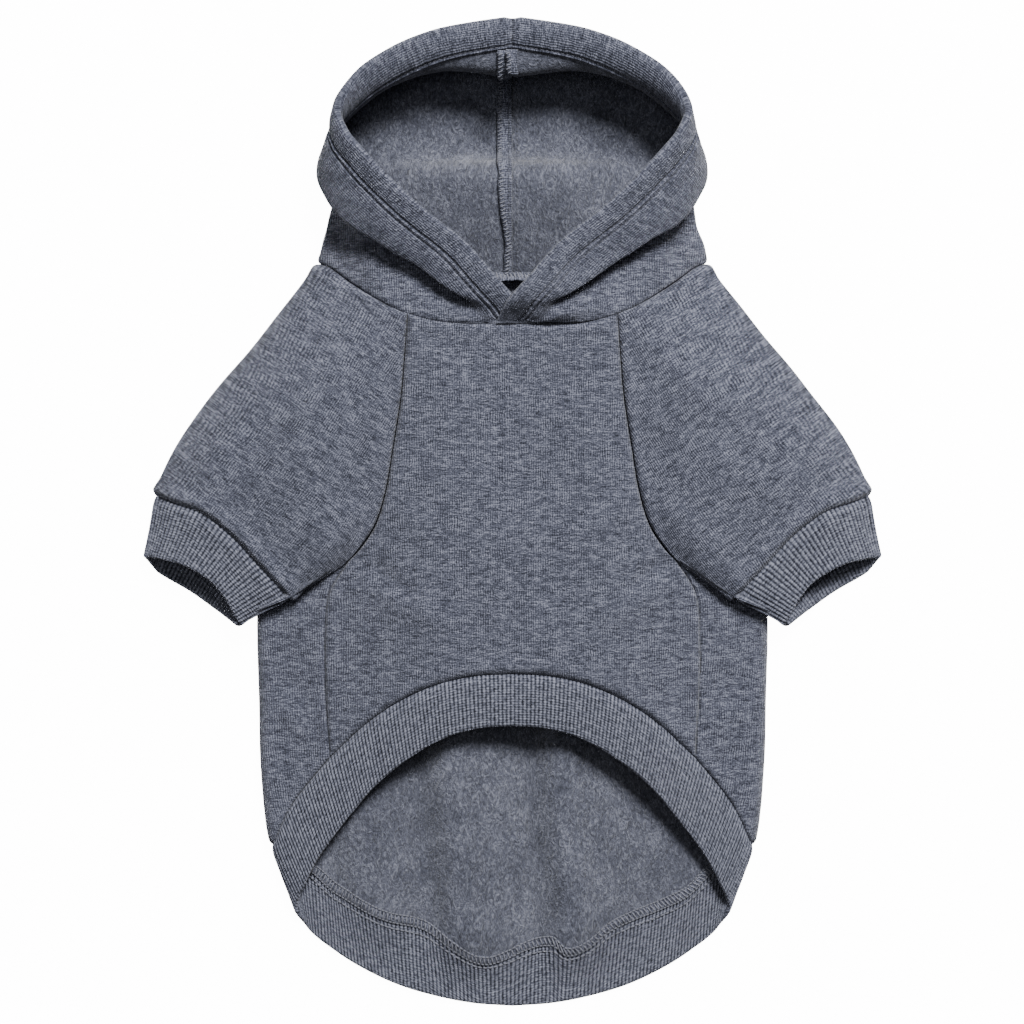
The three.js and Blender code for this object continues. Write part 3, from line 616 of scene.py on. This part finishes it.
def ribbed(grid, around, count):
    """Relief of round ribs with narrow grooves, each point's place on the cut, and its way
    from the seam. `around` counts ribs along a row, and `count` is how many the ring has."""
    seam_side, edge_side = ways_in(grid, 0)
    relief = RIB_DEPTH * (np.abs(np.cos(np.pi * around)) ** 0.6 - 1)
    relief = relief * smooth(seam_side / 1.5) * smooth((edge_side + 0.4) / 1.6)
    place = np.stack([np.broadcast_to(around * RIB_PITCH, grid.shape[:2]), seam_side], -1)
    return relief, np.concatenate([place, place[:, :1] + [count * RIB_PITCH, 0]], axis=1), seam_side

# %% Cuffs
CUFF_RIBS = 72
CUFF_RIB_POINTS = 7
count = CUFF_RIBS * CUFF_RIB_POINTS
even = np.linspace(0, ROUND, 2001)
s = np.interp(np.arange(count) / count, keyed(cuff_ring(even, False))[:, 0], even)
v = stations(CUFF_DEPTH, 1.3)[:, None, None]
grid = mix(cuff_ring(s, False), cuff_ring(s, True), v)
relief, place, seam_side = ribbed(grid, np.arange(count) / CUFF_RIB_POINTS, CUFF_RIBS)
# the seam draws the rib in, and the middle of the band sinks a little
shape = relief - 1.0 * (1 - smooth(seam_side / 5)) - 0.7 * np.sin(np.pi * v[..., 0]) - 0.2
for name, hand in (("right", 1), ("left", -1)):
    wall(f"cuff_rib_{name}", grid * [hand, 1, 1], RIB, -hand, place, ring=True, ends=(SEAM, RIM),
         shape=shape)

# %% Hem rib
HEM_RIB_POINTS = 6

def hem_grid():
    """Rows from the seam to the edge; columns evenly round the loop from the belly middle."""
    runs = [(keyed(seam_belly), keyed(edge_belly)),
            (keyed(np.vstack([seam_belly[-1:], seam_rest])),
             keyed(np.vstack([edge_belly[-1:], edge_rest])))]
    share = np.linspace(0, 1, 200)
    lengths = [way_along(mix(read(seam, share), read(edge, share), 0.5))[-1] for seam, edge in runs]
    half_ribs = int(round(sum(lengths) / RIB_PITCH))
    count = half_ribs * HEM_RIB_POINTS
    way = np.arange(count + 1) / count * sum(lengths)
    parts = []
    for row in (0, 1):
        belly = read(runs[0][row], way / lengths[0])
        rest = read(runs[1][row], (way - lengths[0]) / lengths[1])
        parts.append(np.where((way < lengths[0])[:, None], belly, rest))
    start, end = [np.concatenate([p, p[-2:0:-1] * [-1, 1, 1]]) for p in parts]
    v = stations(HEM_DEPTH, 1.3)[:, None, None]
    return mix(start, end, v), half_ribs * 2, v[..., 0]

grid, hem_ribs, v = hem_grid()
print("ribs round the hem:", hem_ribs)
hem_wave(grid)
relief, place, seam_side = ribbed(grid, np.arange(grid.shape[1]) / HEM_RIB_POINTS, hem_ribs)
shape = relief - 0.7 * (1 - smooth(seam_side / 5)) + 0.5 * np.sin(np.pi * v) - 0.2
wall("hem_rib", grid, RIB, -1, place, ring=True, ends=(SEAM, RIM), shape=shape, inner_shape=relief)

# %% [markdown]
# ## Hood
#
# The hood has two halves, joined along the middle of the head. Each line of the grid runs
# from the neck seam out to where the cloth turns back, and up to the rim of the opening.
# The rim is a turned hem, so the wall is thicker there, and two rows of stitches pull a
# groove into it 9.3 and 11.7 mm from the rim. Points are placed by their distance from the
# rim, so both grooves stay parallel to it all the way round.

# %% One line of the hood
HEM_WIDE = 13.0
STITCH_ROWS = (9.3, 11.7)
INNER_ROW = 12.3
GROOVE = 0.45                  # half width of the groove that a row of stitches pulls in
TURN = 0.64                    # share of the line from the neck at which the cloth turns back
hood_rows = np.column_stack([np.linspace(0, 1, len(HOOD)), np.array(HOOD)])

def hood_line(u, lap):
    """Points from the neck to the rim, at a share `u` of the way from the front to the crown."""
    share, *r = read(hood_rows, u)
    start = read(neck_all, share)
    turn, fold, rim = [np.array(r[k:k + 3]) * [HALF, HOOD_LENGTH, HOOD_HEIGHT] for k in (0, 3, 6)]
    # behind the neck the cloth runs low along the floor before it turns back
    low = smooth((u - 0.5) / 0.2)
    floor = mix(start, turn, 0.85)
    run = mix(mix(start, turn, 0.5), np.array([floor[0], floor[1], 0]), low * 0.5)
    near = np.array([mix(run[0], floor[0], 0.5), mix(run[1], floor[1], 0.5), mix(run[2], 0, low)])
    waist = 0.085 * np.sin(np.pi * np.clip((u - 0.3) / 0.5, 0, 1)) ** 2
    run = run * [1 - waist, 1, 1]
    second = mix(near, floor, 0.6) * [1 - waist / 2, 1, 1]
    keys = [0, 0.3, 0.5, TURN, 0.8, 1]
    rows = np.column_stack([keys, np.array([start, run, second, turn, fold, rim])])
    v = np.linspace(0, 1, 500)
    line = read(rows, v)
    x, y = line[:, 0], line[:, 1]
    crease = np.where(v < 0.62, low * read(CREASE, y / HOOD_LENGTH)[:, 0] * HOOD_HEIGHT
                      * (1 - smooth(np.abs(x) / HALF / 0.7)), 0)
    line[:, 2] = np.maximum(line[:, 2], 0) + crease + lap * (1 - smooth((u - 0.1) / 0.2))
    return line

# %% Hood grid: row 0 is the rim
RIM_ROWS = np.array([0, .15, .4, .8, 1.3, 1.8, 2.6, 3.6, 4.6, 5.6, 6.6, 7.5, 8.2, 8.7, 9.0, 9.3,
                     9.6, 9.9, 10.4, 10.9, 11.3, 11.7, 12.0, 12.3, 12.7, 13.0, 13.3, 13.6, 14.2,
                     15.2, 16.4])
BELOW_RIM = RIM_ROWS[-1]
NECK_ROWS = 92
HOOD_COLUMNS = stations(205, 1.3)

def hood_grid(lap):
    """Rows from the rim down to the neck, each point's distance from the rim, and the turn's."""
    columns, ways, turns = [], [], []
    for u in HOOD_COLUMNS:
        line = hood_line(u, lap)[::-1]
        way = way_along(line)
        rest = stations(max(way[-1] - BELOW_RIM, 12), 1.0, (False, True))
        rest = np.interp(np.linspace(0, 1, NECK_ROWS), np.linspace(0, 1, len(rest)), rest)[1:]
        at = np.concatenate([RIM_ROWS, BELOW_RIM + rest * (way[-1] - BELOW_RIM)])
        columns.append(np.column_stack([np.interp(at, way, line[:, k]) for k in range(3)]))
        ways.append(at)
        turns.append(way[int((1 - TURN) * len(way))])
    return np.stack(columns, 1), np.stack(ways, 1), np.array(turns)

def groove(way, row):
    return np.exp(-((way - row) / GROOVE) ** 2)

hood = {}
for name, hand, lap, seed in (("right", 1, LAP, 2), ("left", -1, 0, 6)):
    grid, way, turn = hood_grid(lap)
    neck_side = way[-1] - way
    across = ways_in(grid, 1)[0]
    along_rim = np.broadcast_to(across[12], way.shape)
    # the upper front end comes down to the neck seam and thins out there
    sink = np.maximum((1 - smooth((HOOD_COLUMNS - 0.1) / 0.2)) * (1 - smooth(neck_side / 6)),
                      1 - smooth(across / 12)) * (lap > 0)
    grid[..., 2] -= 3.2 * sink
    thick = mix(mix(HOOD_HEM, CLOTH, smooth((way - HEM_WIDE) / 0.5)), 1.2, sink)
    # the middle seam draws the rim in a little at the crown and presses the halves together
    from_middle = ways_in(grid, 1)[1]
    grid[..., 1] -= 1.1 * (1 - smooth(from_middle / 4)) * (1 - smooth(way / 9))
    grid[..., 0] -= 0.25 * (1 - smooth(from_middle / 1.5))
    puff = 0.5 * np.sin(np.pi * np.clip(way / STITCH_ROWS[0], 0, 1))
    puff = puff + 0.25 * waves(across, way * 1.3, 17, seed)
    unrest = 0.5 * waves(grid[..., 0], grid[..., 1], 30, seed)
    unrest = unrest * smooth((way - HEM_WIDE) / 8) * smooth(neck_side / 8)
    unrest += puff * smooth((neck_side + 1) / 6) - 0.9 * sum(groove(way, row) for row in STITCH_ROWS)
    # the turned hem is plump inside as well, up to its own row of stitches
    plump = 1.4 * np.sin(np.pi * np.clip(way / INNER_ROW, 0, 1)) - 0.7 * groove(way, INNER_ROW)
    plump = plump * smooth((HOOD_COLUMNS - 0.15) / 0.25)
    # the wales follow the rim as far as the turn; the cloth below it is cut like the body
    cut = np.where((way > turn)[..., None], grid[..., :2], np.stack([way, along_rim], -1))
    hood[name] = wall(f"hood_cloth_{name}", grid * [hand, 1, 1], thick, -hand, cut * [1, hand],
                      ends=(RIM, SEAM), sides=(OPEN, CENTRE), inside=way > HEM_WIDE + 0.3,
                      shape=unrest, inner_shape=plump)

# %% [markdown]
# ## Seam allowances
#
# Inside a garment each seam leaves a narrow double edge that is trimmed and wrapped in
# thread. Three of them can be seen: up the middle of the hood, across the nape and along the
# hem of the back. Each is a narrow wall of cloth beside a line that it is sewn along. A
# `track` keeps that line with its directions across and up, so the cloth and its stitches
# are both placed by three plain numbers: how far along, how far across and how high.

# %% Tracks to sew along
def track(points, up):
    """A line in mm with its way, its points, and its directions across and up."""
    tangent = np.gradient(points, axis=0)
    tangent /= np.linalg.norm(tangent, axis=1, keepdims=True)
    up = np.broadcast_to(up, points.shape)
    return np.column_stack([way_along(points), points, np.cross(tangent, up), up])

def on_track(line, along, across, high):
    """Points at places on a track: along it, across it and above it, in mm."""
    along, across, high = np.broadcast_arrays(along, across, high)
    point, aside, up = [np.stack([np.interp(along, line[:, 0], line[:, k + i]) for i in range(3)], -1)
                        for k in (1, 4, 7)]
    return point + aside * across[..., None] + up * high[..., None]

def allowance(name, line, width, lift, thick, lay=np.asarray):
    """Narrow wall beside a track. `width` holds its width at even steps along, `lift` raises
    its free edge, and `lay` moves its points onto what they lie on."""
    along = np.linspace(line[0, 0], line[-1, 0], len(width))
    share = np.linspace(0, 1, 9)[:, None]
    high = thick + 0.15 + lift * share**2
    grid = lay(on_track(line, along, share * width, high))
    cut = np.stack([np.broadcast_to(along, grid.shape[:2]), share * width], -1)
    wall(name, grid, thick, -1, cut, ends=(RIM, RIM), sides=(RIM, RIM))
    return line, width, lift, thick

# %% Middle of the hood, inside
UP = [0, 0, 1.0]
# y of the seam's point and width of the allowance there
ALLOWANCE_WIDTH = [[0, 3.9], [16, 2.6], [31, 4.8], [46, 5.8], [52, 6.2], [76, 6.0], [110, 5.6]]
half = hood["left"]
rows = np.flatnonzero(way_along(half["inner"][:, -1]) > HEM_WIDE + 1)[:-1:2]
seam = half["inner"][rows, -4] * [0, 1, 1] + [-0.2, 0, 0]
up = -half["out"][rows, -4] * [0, 1, 1]
hood_track = track(seam, up / np.linalg.norm(up, axis=1, keepdims=True))
steps = np.arange(0, hood_track[-1, 0], 1.0)
width = read(ALLOWANCE_WIDTH, on_track(hood_track, steps, 0, 0)[:, 1])[:, 0]
width = width + 0.25 * waves(steps, 0, 9, 1)
hood_edge = allowance("hood_seam_cloth", hood_track, width, 0.9, 1.4)
print("hood seam allowance:", round(hood_track[-1, 0]), "mm long")

# %% Tail of the hood seam, over the hem at the crown
TAIL_STEPS = np.array([[0, -2.5, 0.4], [0, -5, 0.2], [0, -7.5, -0.4], [0, -9.6, -1.6]])
tail = on_track(hood_track, np.linspace(0.3, 1.5, 4), 0, 0)
tail = np.vstack([tail, tail[-1:] + TAIL_STEPS])
tail_track = track(tail + [2.6, 0, 1.6], UP)
steps = np.linspace(0, tail_track[-1, 0], 22)
tail_edge = allowance("hood_seam_tail", tail_track, 5.0 + 0.4 * np.sin(steps), 0.3, 1.9)

# %% Nape
nape = np.vstack([neck_nape[:-1], neck_nape[::-1] * [-1, 1, 1]])[::-1]
nape = nape[np.abs(nape[:, 0]) < 62]
nape = read(keyed(nape), np.linspace(0, 1, 100)) + [0, 4.2, CLOTH + 2.4]
nape_track = track(nape, UP)
steps = np.arange(0, nape_track[-1, 0], 1.2)
nape_edge = allowance("nape_seam_cloth", nape_track, 3.2 + 0.5 * waves(steps, 0, 6, 4), 3, 1.4)

# %% Back hem
def on_folds(points):
    """Lays points over the wave and the folds of the back, at their own heights."""
    return hem_wave(points * [1, 1, 0]) + points * [0, 0, 1]

x = np.linspace(-93, 93, 160)
low = np.column_stack([x, read(keyed_x(seam_rest), np.abs(x))[:, 0] + 0.9, x * 0 + CLOTH + 0.3])
hem_track = track(low, UP)
steps = np.arange(0, hem_track[-1, 0], 1.2)
width = 4.0 + 0.3 * waves(steps, 0, 7, 8)
hem_edge = allowance("hem_seam_cloth", hem_track, width, -0.4, 0.9, on_folds)

# %% [markdown]
# ## Stitches
#
# A stitch is a short thread that dives into the cloth at both its ends. All the stitches of
# a row are made at once as one mesh of four-sided tubes, 36 triangles each. The hood hem has
# the twin row of a two-needle machine outside and one row inside. Overlock wraps each
# trimmed edge in slanted threads, 1.5 to 1.7 mm apart. The seam of the back hem is also
# stitched down, with a row beyond its allowance.

# %% Threads
def threads(name, paths, radius):
    """One mesh of tubes; each path is five points in mm."""
    paths = np.concatenate([p.reshape(-1, 5, 3) for p in paths])
    along = np.gradient(paths, axis=1)
    side = np.cross(along, [0, 0.01, 1])
    side /= np.linalg.norm(side, axis=2, keepdims=True)
    top = np.cross(side, along / np.linalg.norm(along, axis=2, keepdims=True))
    ring = np.stack([side, top, -side, -top], 2) * (radius * np.array([0.6, 1, 1, 1, 0.6]))[:, None, None]
    points = (paths[:, :, None] + ring).reshape(-1, 3)
    number = np.arange(len(points)).reshape(-1, 5, 4)
    beside = np.roll(number, -1, axis=2)
    faces = np.stack([number[:, :-1], beside[:, :-1], beside[:, 1:], number[:, 1:]], -1).reshape(-1, 4)
    faces = np.concatenate([faces, number[:, 0, ::-1], number[:, -1]])
    place = np.stack([number // 4 % 5 * 0.6, number % 4 * 0.4], -1).reshape(-1, 2)
    return solid(name, points, faces, place[faces])

def straight(line, across, high, pitch=2.5):
    """Row of straight stitches along a track."""
    t = np.linspace(-1, 1, 5)
    along = np.arange(line[0, 0] + pitch, line[-1, 0] - pitch, pitch)[:, None] + t * 0.41 * pitch
    return on_track(line, along, across, high + 0.12 - 0.5 * t**4)

def overlock(line, width, lift, thick, pitch=1.6, wide=2.5):
    """Slanted threads from the needle line over the free edge of an allowance."""
    t = np.linspace(0, 1, 5)
    along = np.arange(line[0, 0] + 1, line[-1, 0] - 1.5, pitch)[:, None] + t * 0.75 * pitch
    edge = np.interp(along, np.linspace(line[0, 0], line[-1, 0], len(width)), width)
    across = edge + 0.2 - wide * (1 - t)
    high = thick + 0.3 + lift * (across / edge) ** 2 - 0.5 * (t == 0) - 1.3 * (t == 1)
    return on_track(line, along, across, high)

# %% Rows of stitches
def rim_track(half, face, side, distance):
    """Track along a face of the hood at a distance from the rim, short of both its ends."""
    row = np.flatnonzero(RIM_ROWS == distance)[0]
    return track(half[face][row, 4:-1], side * half["out"][row, 4:-1])

outer_rows = [straight(rim_track(half, "outer", 1, distance), 0, 0.1)
              for half in hood.values() for distance in STITCH_ROWS]
inner_rows = [straight(rim_track(half, "inner", -1, INNER_ROW), 0, 0.1, 2.2) for half in hood.values()]
middle_rows = [straight(hood_track, -2.2, 0.15, 1.9), straight(hood_track, 1.3, 1.6, 1.9)]
hem_rows = [overlock(*hem_edge, 1.7, 3.9), straight(hem_track, 0.3, 1.2, 1.6),
            straight(hem_track, 3.8, 0.8, 1.6)]
threads("hood_hem_outer_stitches", outer_rows, 0.26)
threads("hood_hem_inner_stitches", inner_rows, 0.26)
threads("hood_middle_stitches", middle_rows, 0.24)
threads("hood_overlock", [overlock(*hood_edge), overlock(*tail_edge)], 0.27)
threads("nape_overlock", [overlock(*nape_edge, 1.5, 3.0)], 0.36)
threads("hem_overlock", [on_folds(rows) for rows in hem_rows], 0.33)
threads("hem_cover_stitches", [on_folds(straight(hem_track, 6.0, 0.5, 2.2))], 0.33)

# %% [markdown]
# ## Camera
#
# The photo looks straight down. A long lens 1.2 m up keeps the high hood from growing
# against the hem, and the place of the camera puts the outline where the photo has it.

# %% Camera
camera = bpy.data.objects.new("camera", bpy.data.cameras.new("camera"))
bpy.context.scene.collection.objects.link(camera)
camera.location = (-0.0002, 0.0021, 1.2147)
camera.data.lens = 100
camera.data.sensor_width = 36
bpy.context.scene.camera = camera

# %% [markdown]
# ## Materials
#
# All the cloths are spun from one melange yarn. `spotted` lays noise over a value in spots of
# a real size, and `finish` turns that value into colour and adds a rough, slightly fuzzy
# cloth shader. Every pattern reads the place on the cut in millimetres.

# %% Colours and nodes
def linear(code):
    """sRGB hex to linear RGBA."""
    parts = [int(code[i:i + 2], 16) / 255 for i in (1, 3, 5)]
    return (*[c / 12.92 if c <= 0.04045 else ((c + 0.055) / 1.055) ** 2.4 for c in parts], 1)

def add(tree, kind, inputs=(), **settings):
    """Adds a node with its settings. An input is a value, a socket, or a node's first output."""
    node = tree.nodes.new("ShaderNode" + kind)
    for key, value in settings.items():
        setattr(node, key, value)
    for key, value in dict(inputs).items():
        if isinstance(value, bpy.types.Node):
            value = value.outputs[0]
        if isinstance(value, bpy.types.NodeSocket):
            tree.links.new(value, node.inputs[key])
        else:
            node.inputs[key].default_value = value
    return node

# %% Uneven yarn, and the finish that all the cloths share
def new_cloth(name):
    """A new material, its node tree and the place on the cut in millimetres."""
    made = bpy.data.materials.new(name)
    made.use_nodes = True
    made.node_tree.nodes.clear()
    return made, made.node_tree, add(made.node_tree, "UVMap", uv_map="cut")

def spotted(tree, cut, layers, value):
    """Adds layers of spots to a value: wide and high in mm, detail, swirl, weight."""
    for wide, high, detail, swirl, weight in layers:
        place = add(tree, "VectorMath", {0: cut, 1: (1 / wide, 1 / high, 1)}, operation="MULTIPLY")
        spots = add(tree, "TexNoise", {"Vector": place, "Scale": 1, "Detail": detail, "Roughness": 0.6,
                                       "Distortion": swirl})
        even = add(tree, "Math", {0: spots, 1: 0.5}, operation="SUBTRACT")
        value = add(tree, "Math", {0: even, 1: weight, 2: value}, operation="MULTIPLY_ADD")
    return value

def finish(tree, value, codes, height, depth, sheen):
    """Colours a value round 0.5 from dark to light fibres, with the painted groove shade of the rib and the
    thread, and adds the cloth shader.
    """
    ramp = add(tree, "ValToRGB", {"Fac": value})
    stops = ramp.color_ramp.elements
    stops.new(0.5)
    for stop, position, code in zip(stops, (0.12, 0.5, 0.88), codes):
        stop.position, stop.color = position, linear(code)
    bump = add(tree, "Bump", {"Strength": 1.0, "Distance": depth / 1000, "Height": height})
    shader = add(tree, "BsdfPrincipled", {
        "Base Color": ramp, "Roughness": 0.95, "IOR": 1.5, "Normal": bump,
        "Specular IOR Level": 0.15, "Sheen Weight": sheen, "Sheen Roughness": 0.5})
    add(tree, "OutputMaterial", {"Surface": shader})

# %% [markdown]
# ### Sweatshirt jersey
#
# The outside is a single jersey of melange yarn: cotton fibres dyed dark and left pale are
# spun together, so the colour changes every few millimetres along the yarn. The yarn runs
# across the cloth, which stretches each fleck sideways into a short streak. Fine upright
# lines, 1 mm apart, are the wales. Real wales are about 0.7 mm apart and would be finer than
# the picture can show.

# %% Sweatshirt jersey
WALE_PITCH = 1.0
knit, tree, cut = new_cloth("melange_sweatshirt_jersey")
drift = spotted(tree, cut, [(4, 4, 2, 0, 9)], 0.0)
across = add(tree, "SeparateXYZ", {0: cut})
turn = add(tree, "Math", {0: across, 1: 2 * np.pi / WALE_PITCH, 2: drift}, operation="MULTIPLY_ADD")
wale = add(tree, "Math", {0: turn}, operation="SINE")
value = spotted(tree, cut, [(3.0, 0.62, 3, 0.3, 1.4), (0.75, 0.5, 2, 0, 1.4), (8, 2.4, 3, 0.2, 0.75)], 0.5)
shown = spotted(tree, cut, [(9, 7, 2, 0, 0.6)], 0.1)
value = add(tree, "Math", {0: wale, 1: shown, 2: value}, operation="MULTIPLY_ADD")
fuzz = spotted(tree, cut, [(0.8, 0.5, 3, 0, 1.4)], 0.5)
height = add(tree, "Math", {0: wale, 1: 0.35, 2: fuzz}, operation="MULTIPLY_ADD")
finish(tree, value, ("#282a34", "#575a69", "#989bac"), height, 0.25, 0.25)

# %% [markdown]
# ### Brushed inside
#
# Sweatshirt cloth has loops on its back that are torn up by wire brushes. The fibres lie in
# small curls and tufts, so the spots are swirled, and they are longer than they are wide, as
# the brushes run along the cloth.

# %% Brushed inside
fleece, tree, cut = new_cloth("brushed_fleece")
tufts = spotted(tree, cut, [(2.4, 4.0, 4, 2.2, 1.5)], 0.5)
value = spotted(tree, cut, [(2.4, 4.0, 4, 2.2, 1.3), (0.8, 1.6, 3, 1.4, 1.1), (16, 20, 2, 0, 0.5)], 0.5)
height = spotted(tree, cut, [(0.7, 1.6, 3, 1.4, 0.9)], tufts)
finish(tree, value, ("#363945", "#5f6271", "#9598a8"), height, 0.8, 0.4)

# %% [markdown]
# ### Rib
#
# One-by-one rib of the same yarn. The relief is in the mesh, and the colour is also darkened
# towards the bottom of each groove, where the sunk wales lie: painted shade for the little
# light that gets in there. Small steps along each wale are its loops, 1.1 mm high.

# %% Rib
LOOP_PITCH = 1.1
rib, tree, cut = new_cloth("one_by_one_rib_knit")
parts = add(tree, "SeparateXYZ", {0: cut})
# painted shade: the colour darkens towards the bottom of each rib groove and lightens on the crests, over the
# relief the mesh already has
turn = add(tree, "Math", {0: parts.outputs[0], 1: np.pi / RIB_PITCH}, operation="MULTIPLY")
crest_light_groove_shade = add(tree, "Math", {0: add(tree, "Math", {0: turn}, operation="COSINE")}, operation="ABSOLUTE")
crest_light_groove_shade = add(tree, "Math", {0: crest_light_groove_shade, 1: 0.7}, operation="POWER")
turn = add(tree, "Math", {0: parts.outputs[1], 1: 2 * np.pi / LOOP_PITCH}, operation="MULTIPLY")
loops = add(tree, "Math", {0: turn}, operation="SINE")
value = spotted(tree, cut, [(1.2, 0.8, 3, 0, 1.5), (5, 1.6, 2, 0, 0.8)], 0.14)
value = add(tree, "Math", {0: crest_light_groove_shade, 1: 0.58, 2: value}, operation="MULTIPLY_ADD")
value = add(tree, "Math", {0: loops, 1: 0.05, 2: value}, operation="MULTIPLY_ADD")
fuzz = spotted(tree, cut, [(0.9, 0.6, 3, 0, 0.9)], 0.5)
height = add(tree, "Math", {0: loops, 1: 0.3, 2: fuzz}, operation="MULTIPLY_ADD")
finish(tree, value, ("#20222b", "#5a5d6b", "#979aaa"), height, 0.25, 0.2)

# %% [markdown]
# ### Sewing thread
#
# Spun polyester thread of two plies. The twist shows as slanting stripes about half a
# millimetre apart, painted as shade in the grooves between the plies as well as bumped. The
# threads are paler than the cloth, as they are dyed one even grey. The looper thread of the
# hem's overlock is fluffed nylon, which is paler still.

# %% Sewing thread
PLY_PITCH = 0.5

def thread(name, codes):
    """Twisted thread in three colours, darker in its grooves and lighter on its crests: painted shade over
    the bump.
    """
    made, tree, cut = new_cloth(name)
    parts = add(tree, "SeparateXYZ", {0: cut})
    slant = add(tree, "Math", {0: parts.outputs[1], 1: 1.2, 2: parts.outputs[0]}, operation="MULTIPLY_ADD")
    turn = add(tree, "Math", {0: slant, 1: 2 * np.pi / PLY_PITCH}, operation="MULTIPLY")
    ply_shade_and_relief = add(tree, "Math", {0: turn}, operation="SINE")
    uneven = spotted(tree, cut, [(0.9, 0.9, 2, 0, 1.0)], 0.5)
    # painted shade: the colour darkens in the grooves between the plies, besides the bump
    value = add(tree, "Math", {0: ply_shade_and_relief, 1: 0.2, 2: uneven}, operation="MULTIPLY_ADD")
    finish(tree, value, codes, ply_shade_and_relief, 0.1, 0.1)
    return made

spun = thread("spun_polyester_thread", ("#4a4c57", "#787a87", "#a7a9b5"))
fluffed = thread("fluffed_nylon_thread", ("#6a6c78", "#9c9eac", "#c6c8d2"))

# %% [markdown]
# ## What each piece stands for
#
# Every cloth takes the place of one CAD node, which is hidden, and the table lists the flat
# size that its panel was cut to. Flat sizes are in metres and come from the seam lines above.
# The trims that are sewn to a cloth go with it.

# %% Which cloth and which thread is where
# piece: the node it stands for, its slot, flat size, how it lies, flat area, what is sewn to it
SHEETS = {
    "belly_cloth": ("belly_panel", "sweatshirt_cloth", (0.159, 0.187), "laid", 0.0235, []),
    "back_cloth": ("back_panel", "sweatshirt_cloth", (0.292, 0.285), "laid", 0.062,
                   ["nape_seam_cloth", "nape_overlock", "hem_seam_cloth", "hem_overlock"]),
    "hem_rib": ("hem_band", "rib_knit", (0.46, 0.027), "folded", None, ["hem_cover_stitches"]),
}
for side in ("right", "left"):
    SHEETS[f"sleeve_cloth_{side}"] = (f"sleeve_{side}", "sweatshirt_cloth", (0.22, 0.105), "laid", 0.0175, [])
    SHEETS[f"cuff_rib_{side}"] = (f"cuff_{side}", "rib_knit", (0.12, 0.027), "folded", None, [])
    SHEETS[f"hood_cloth_{side}"] = (f"hood_{side}", "sweatshirt_cloth", (0.2, 0.115), "laid", 0.02, [])
SHEETS["hood_cloth_right"][-1].extend(["hood_hem_outer_stitches", "hood_hem_inner_stitches"])
SHEETS["hood_cloth_left"][-1].extend(["hood_seam_cloth", "hood_seam_tail", "hood_overlock",
                                      "hood_middle_stitches"])
# the materials outside and inside
CLOTHS = {"sweatshirt_cloth": (knit, fleece), "rib_knit": (rib, rib)}

# %% Stand-ins and riding
for name, (node, slot, flat, held, area, trims) in SHEETS.items():
    piece, sewn = bpy.data.objects[name], [bpy.data.objects[trim] for trim in trims]
    for material in CLOTHS[slot]:
        piece.data.materials.append(material)
    for trim in sewn:
        wrapped = "overlock" in trim.name or "cover" in trim.name
        for material in (knit, knit) if "seam" in trim.name else (fluffed if wrapped else spun,):
            trim.data.materials.append(material)
        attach(trim, "root")
    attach(piece, "root")
    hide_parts(node)
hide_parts("hood_seam_allowance")

# %% [markdown]
# ## Floor and light
#
# The hoodie was photographed from above on white. The floor is pale paper that glows a
# little, as paper on a light table does, so it stays white without brighter lamps. Its glow
# is kept off the cloth, or it would light the seams and hems from below. The key lamp is
# large and stands beyond the hood to its right, which leaves the deep end of the hood dark
# and gives each seam and rib its own small shadow. The fill is weak.

# %% Floor
bpy.ops.mesh.primitive_plane_add(size=8, location=(0, 0, -0.0004))
floor = bpy.context.object
floor.name = "floor"
floor.visible_diffuse = False
pale = bpy.data.materials.new("pale_paper")
pale.use_nodes = True
pale.cycles.emission_sampling = "NONE"
pale.node_tree.nodes.clear()
shader = add(pale.node_tree, "BsdfPrincipled", {"Base Color": linear("#f4f4f4"), "Roughness": 0.9,
                                                "Emission Color": (1, 1, 1, 1), "Emission Strength": 14})
add(pale.node_tree, "OutputMaterial", {"Surface": shader})
floor.data.materials.append(pale)

# %% Lamps and room
def lamp(name, place, size, power):
    light = bpy.data.lights.new(name, "AREA")
    light.shape, light.size, light.energy = "SQUARE", size, power
    made = bpy.data.objects.new(name, light)
    bpy.context.scene.collection.objects.link(made)
    made.location = place
    made.rotation_euler = (Vector((0, 0.02, 0)) - Vector(place)).to_track_quat("-Z", "Y").to_euler()

lamp("key", (0.8, 1.95, 2.6), 1.0, 164)
lamp("fill", (-0.6, 0.2, 3.2), 1.6, 10)
world = bpy.data.worlds.new("soft_room")
bpy.context.scene.world = world
world.use_nodes = True
world.node_tree.nodes["Background"].inputs["Color"].default_value = (1, 1, 1, 1)
world.node_tree.nodes["Background"].inputs["Strength"].default_value = 0.06
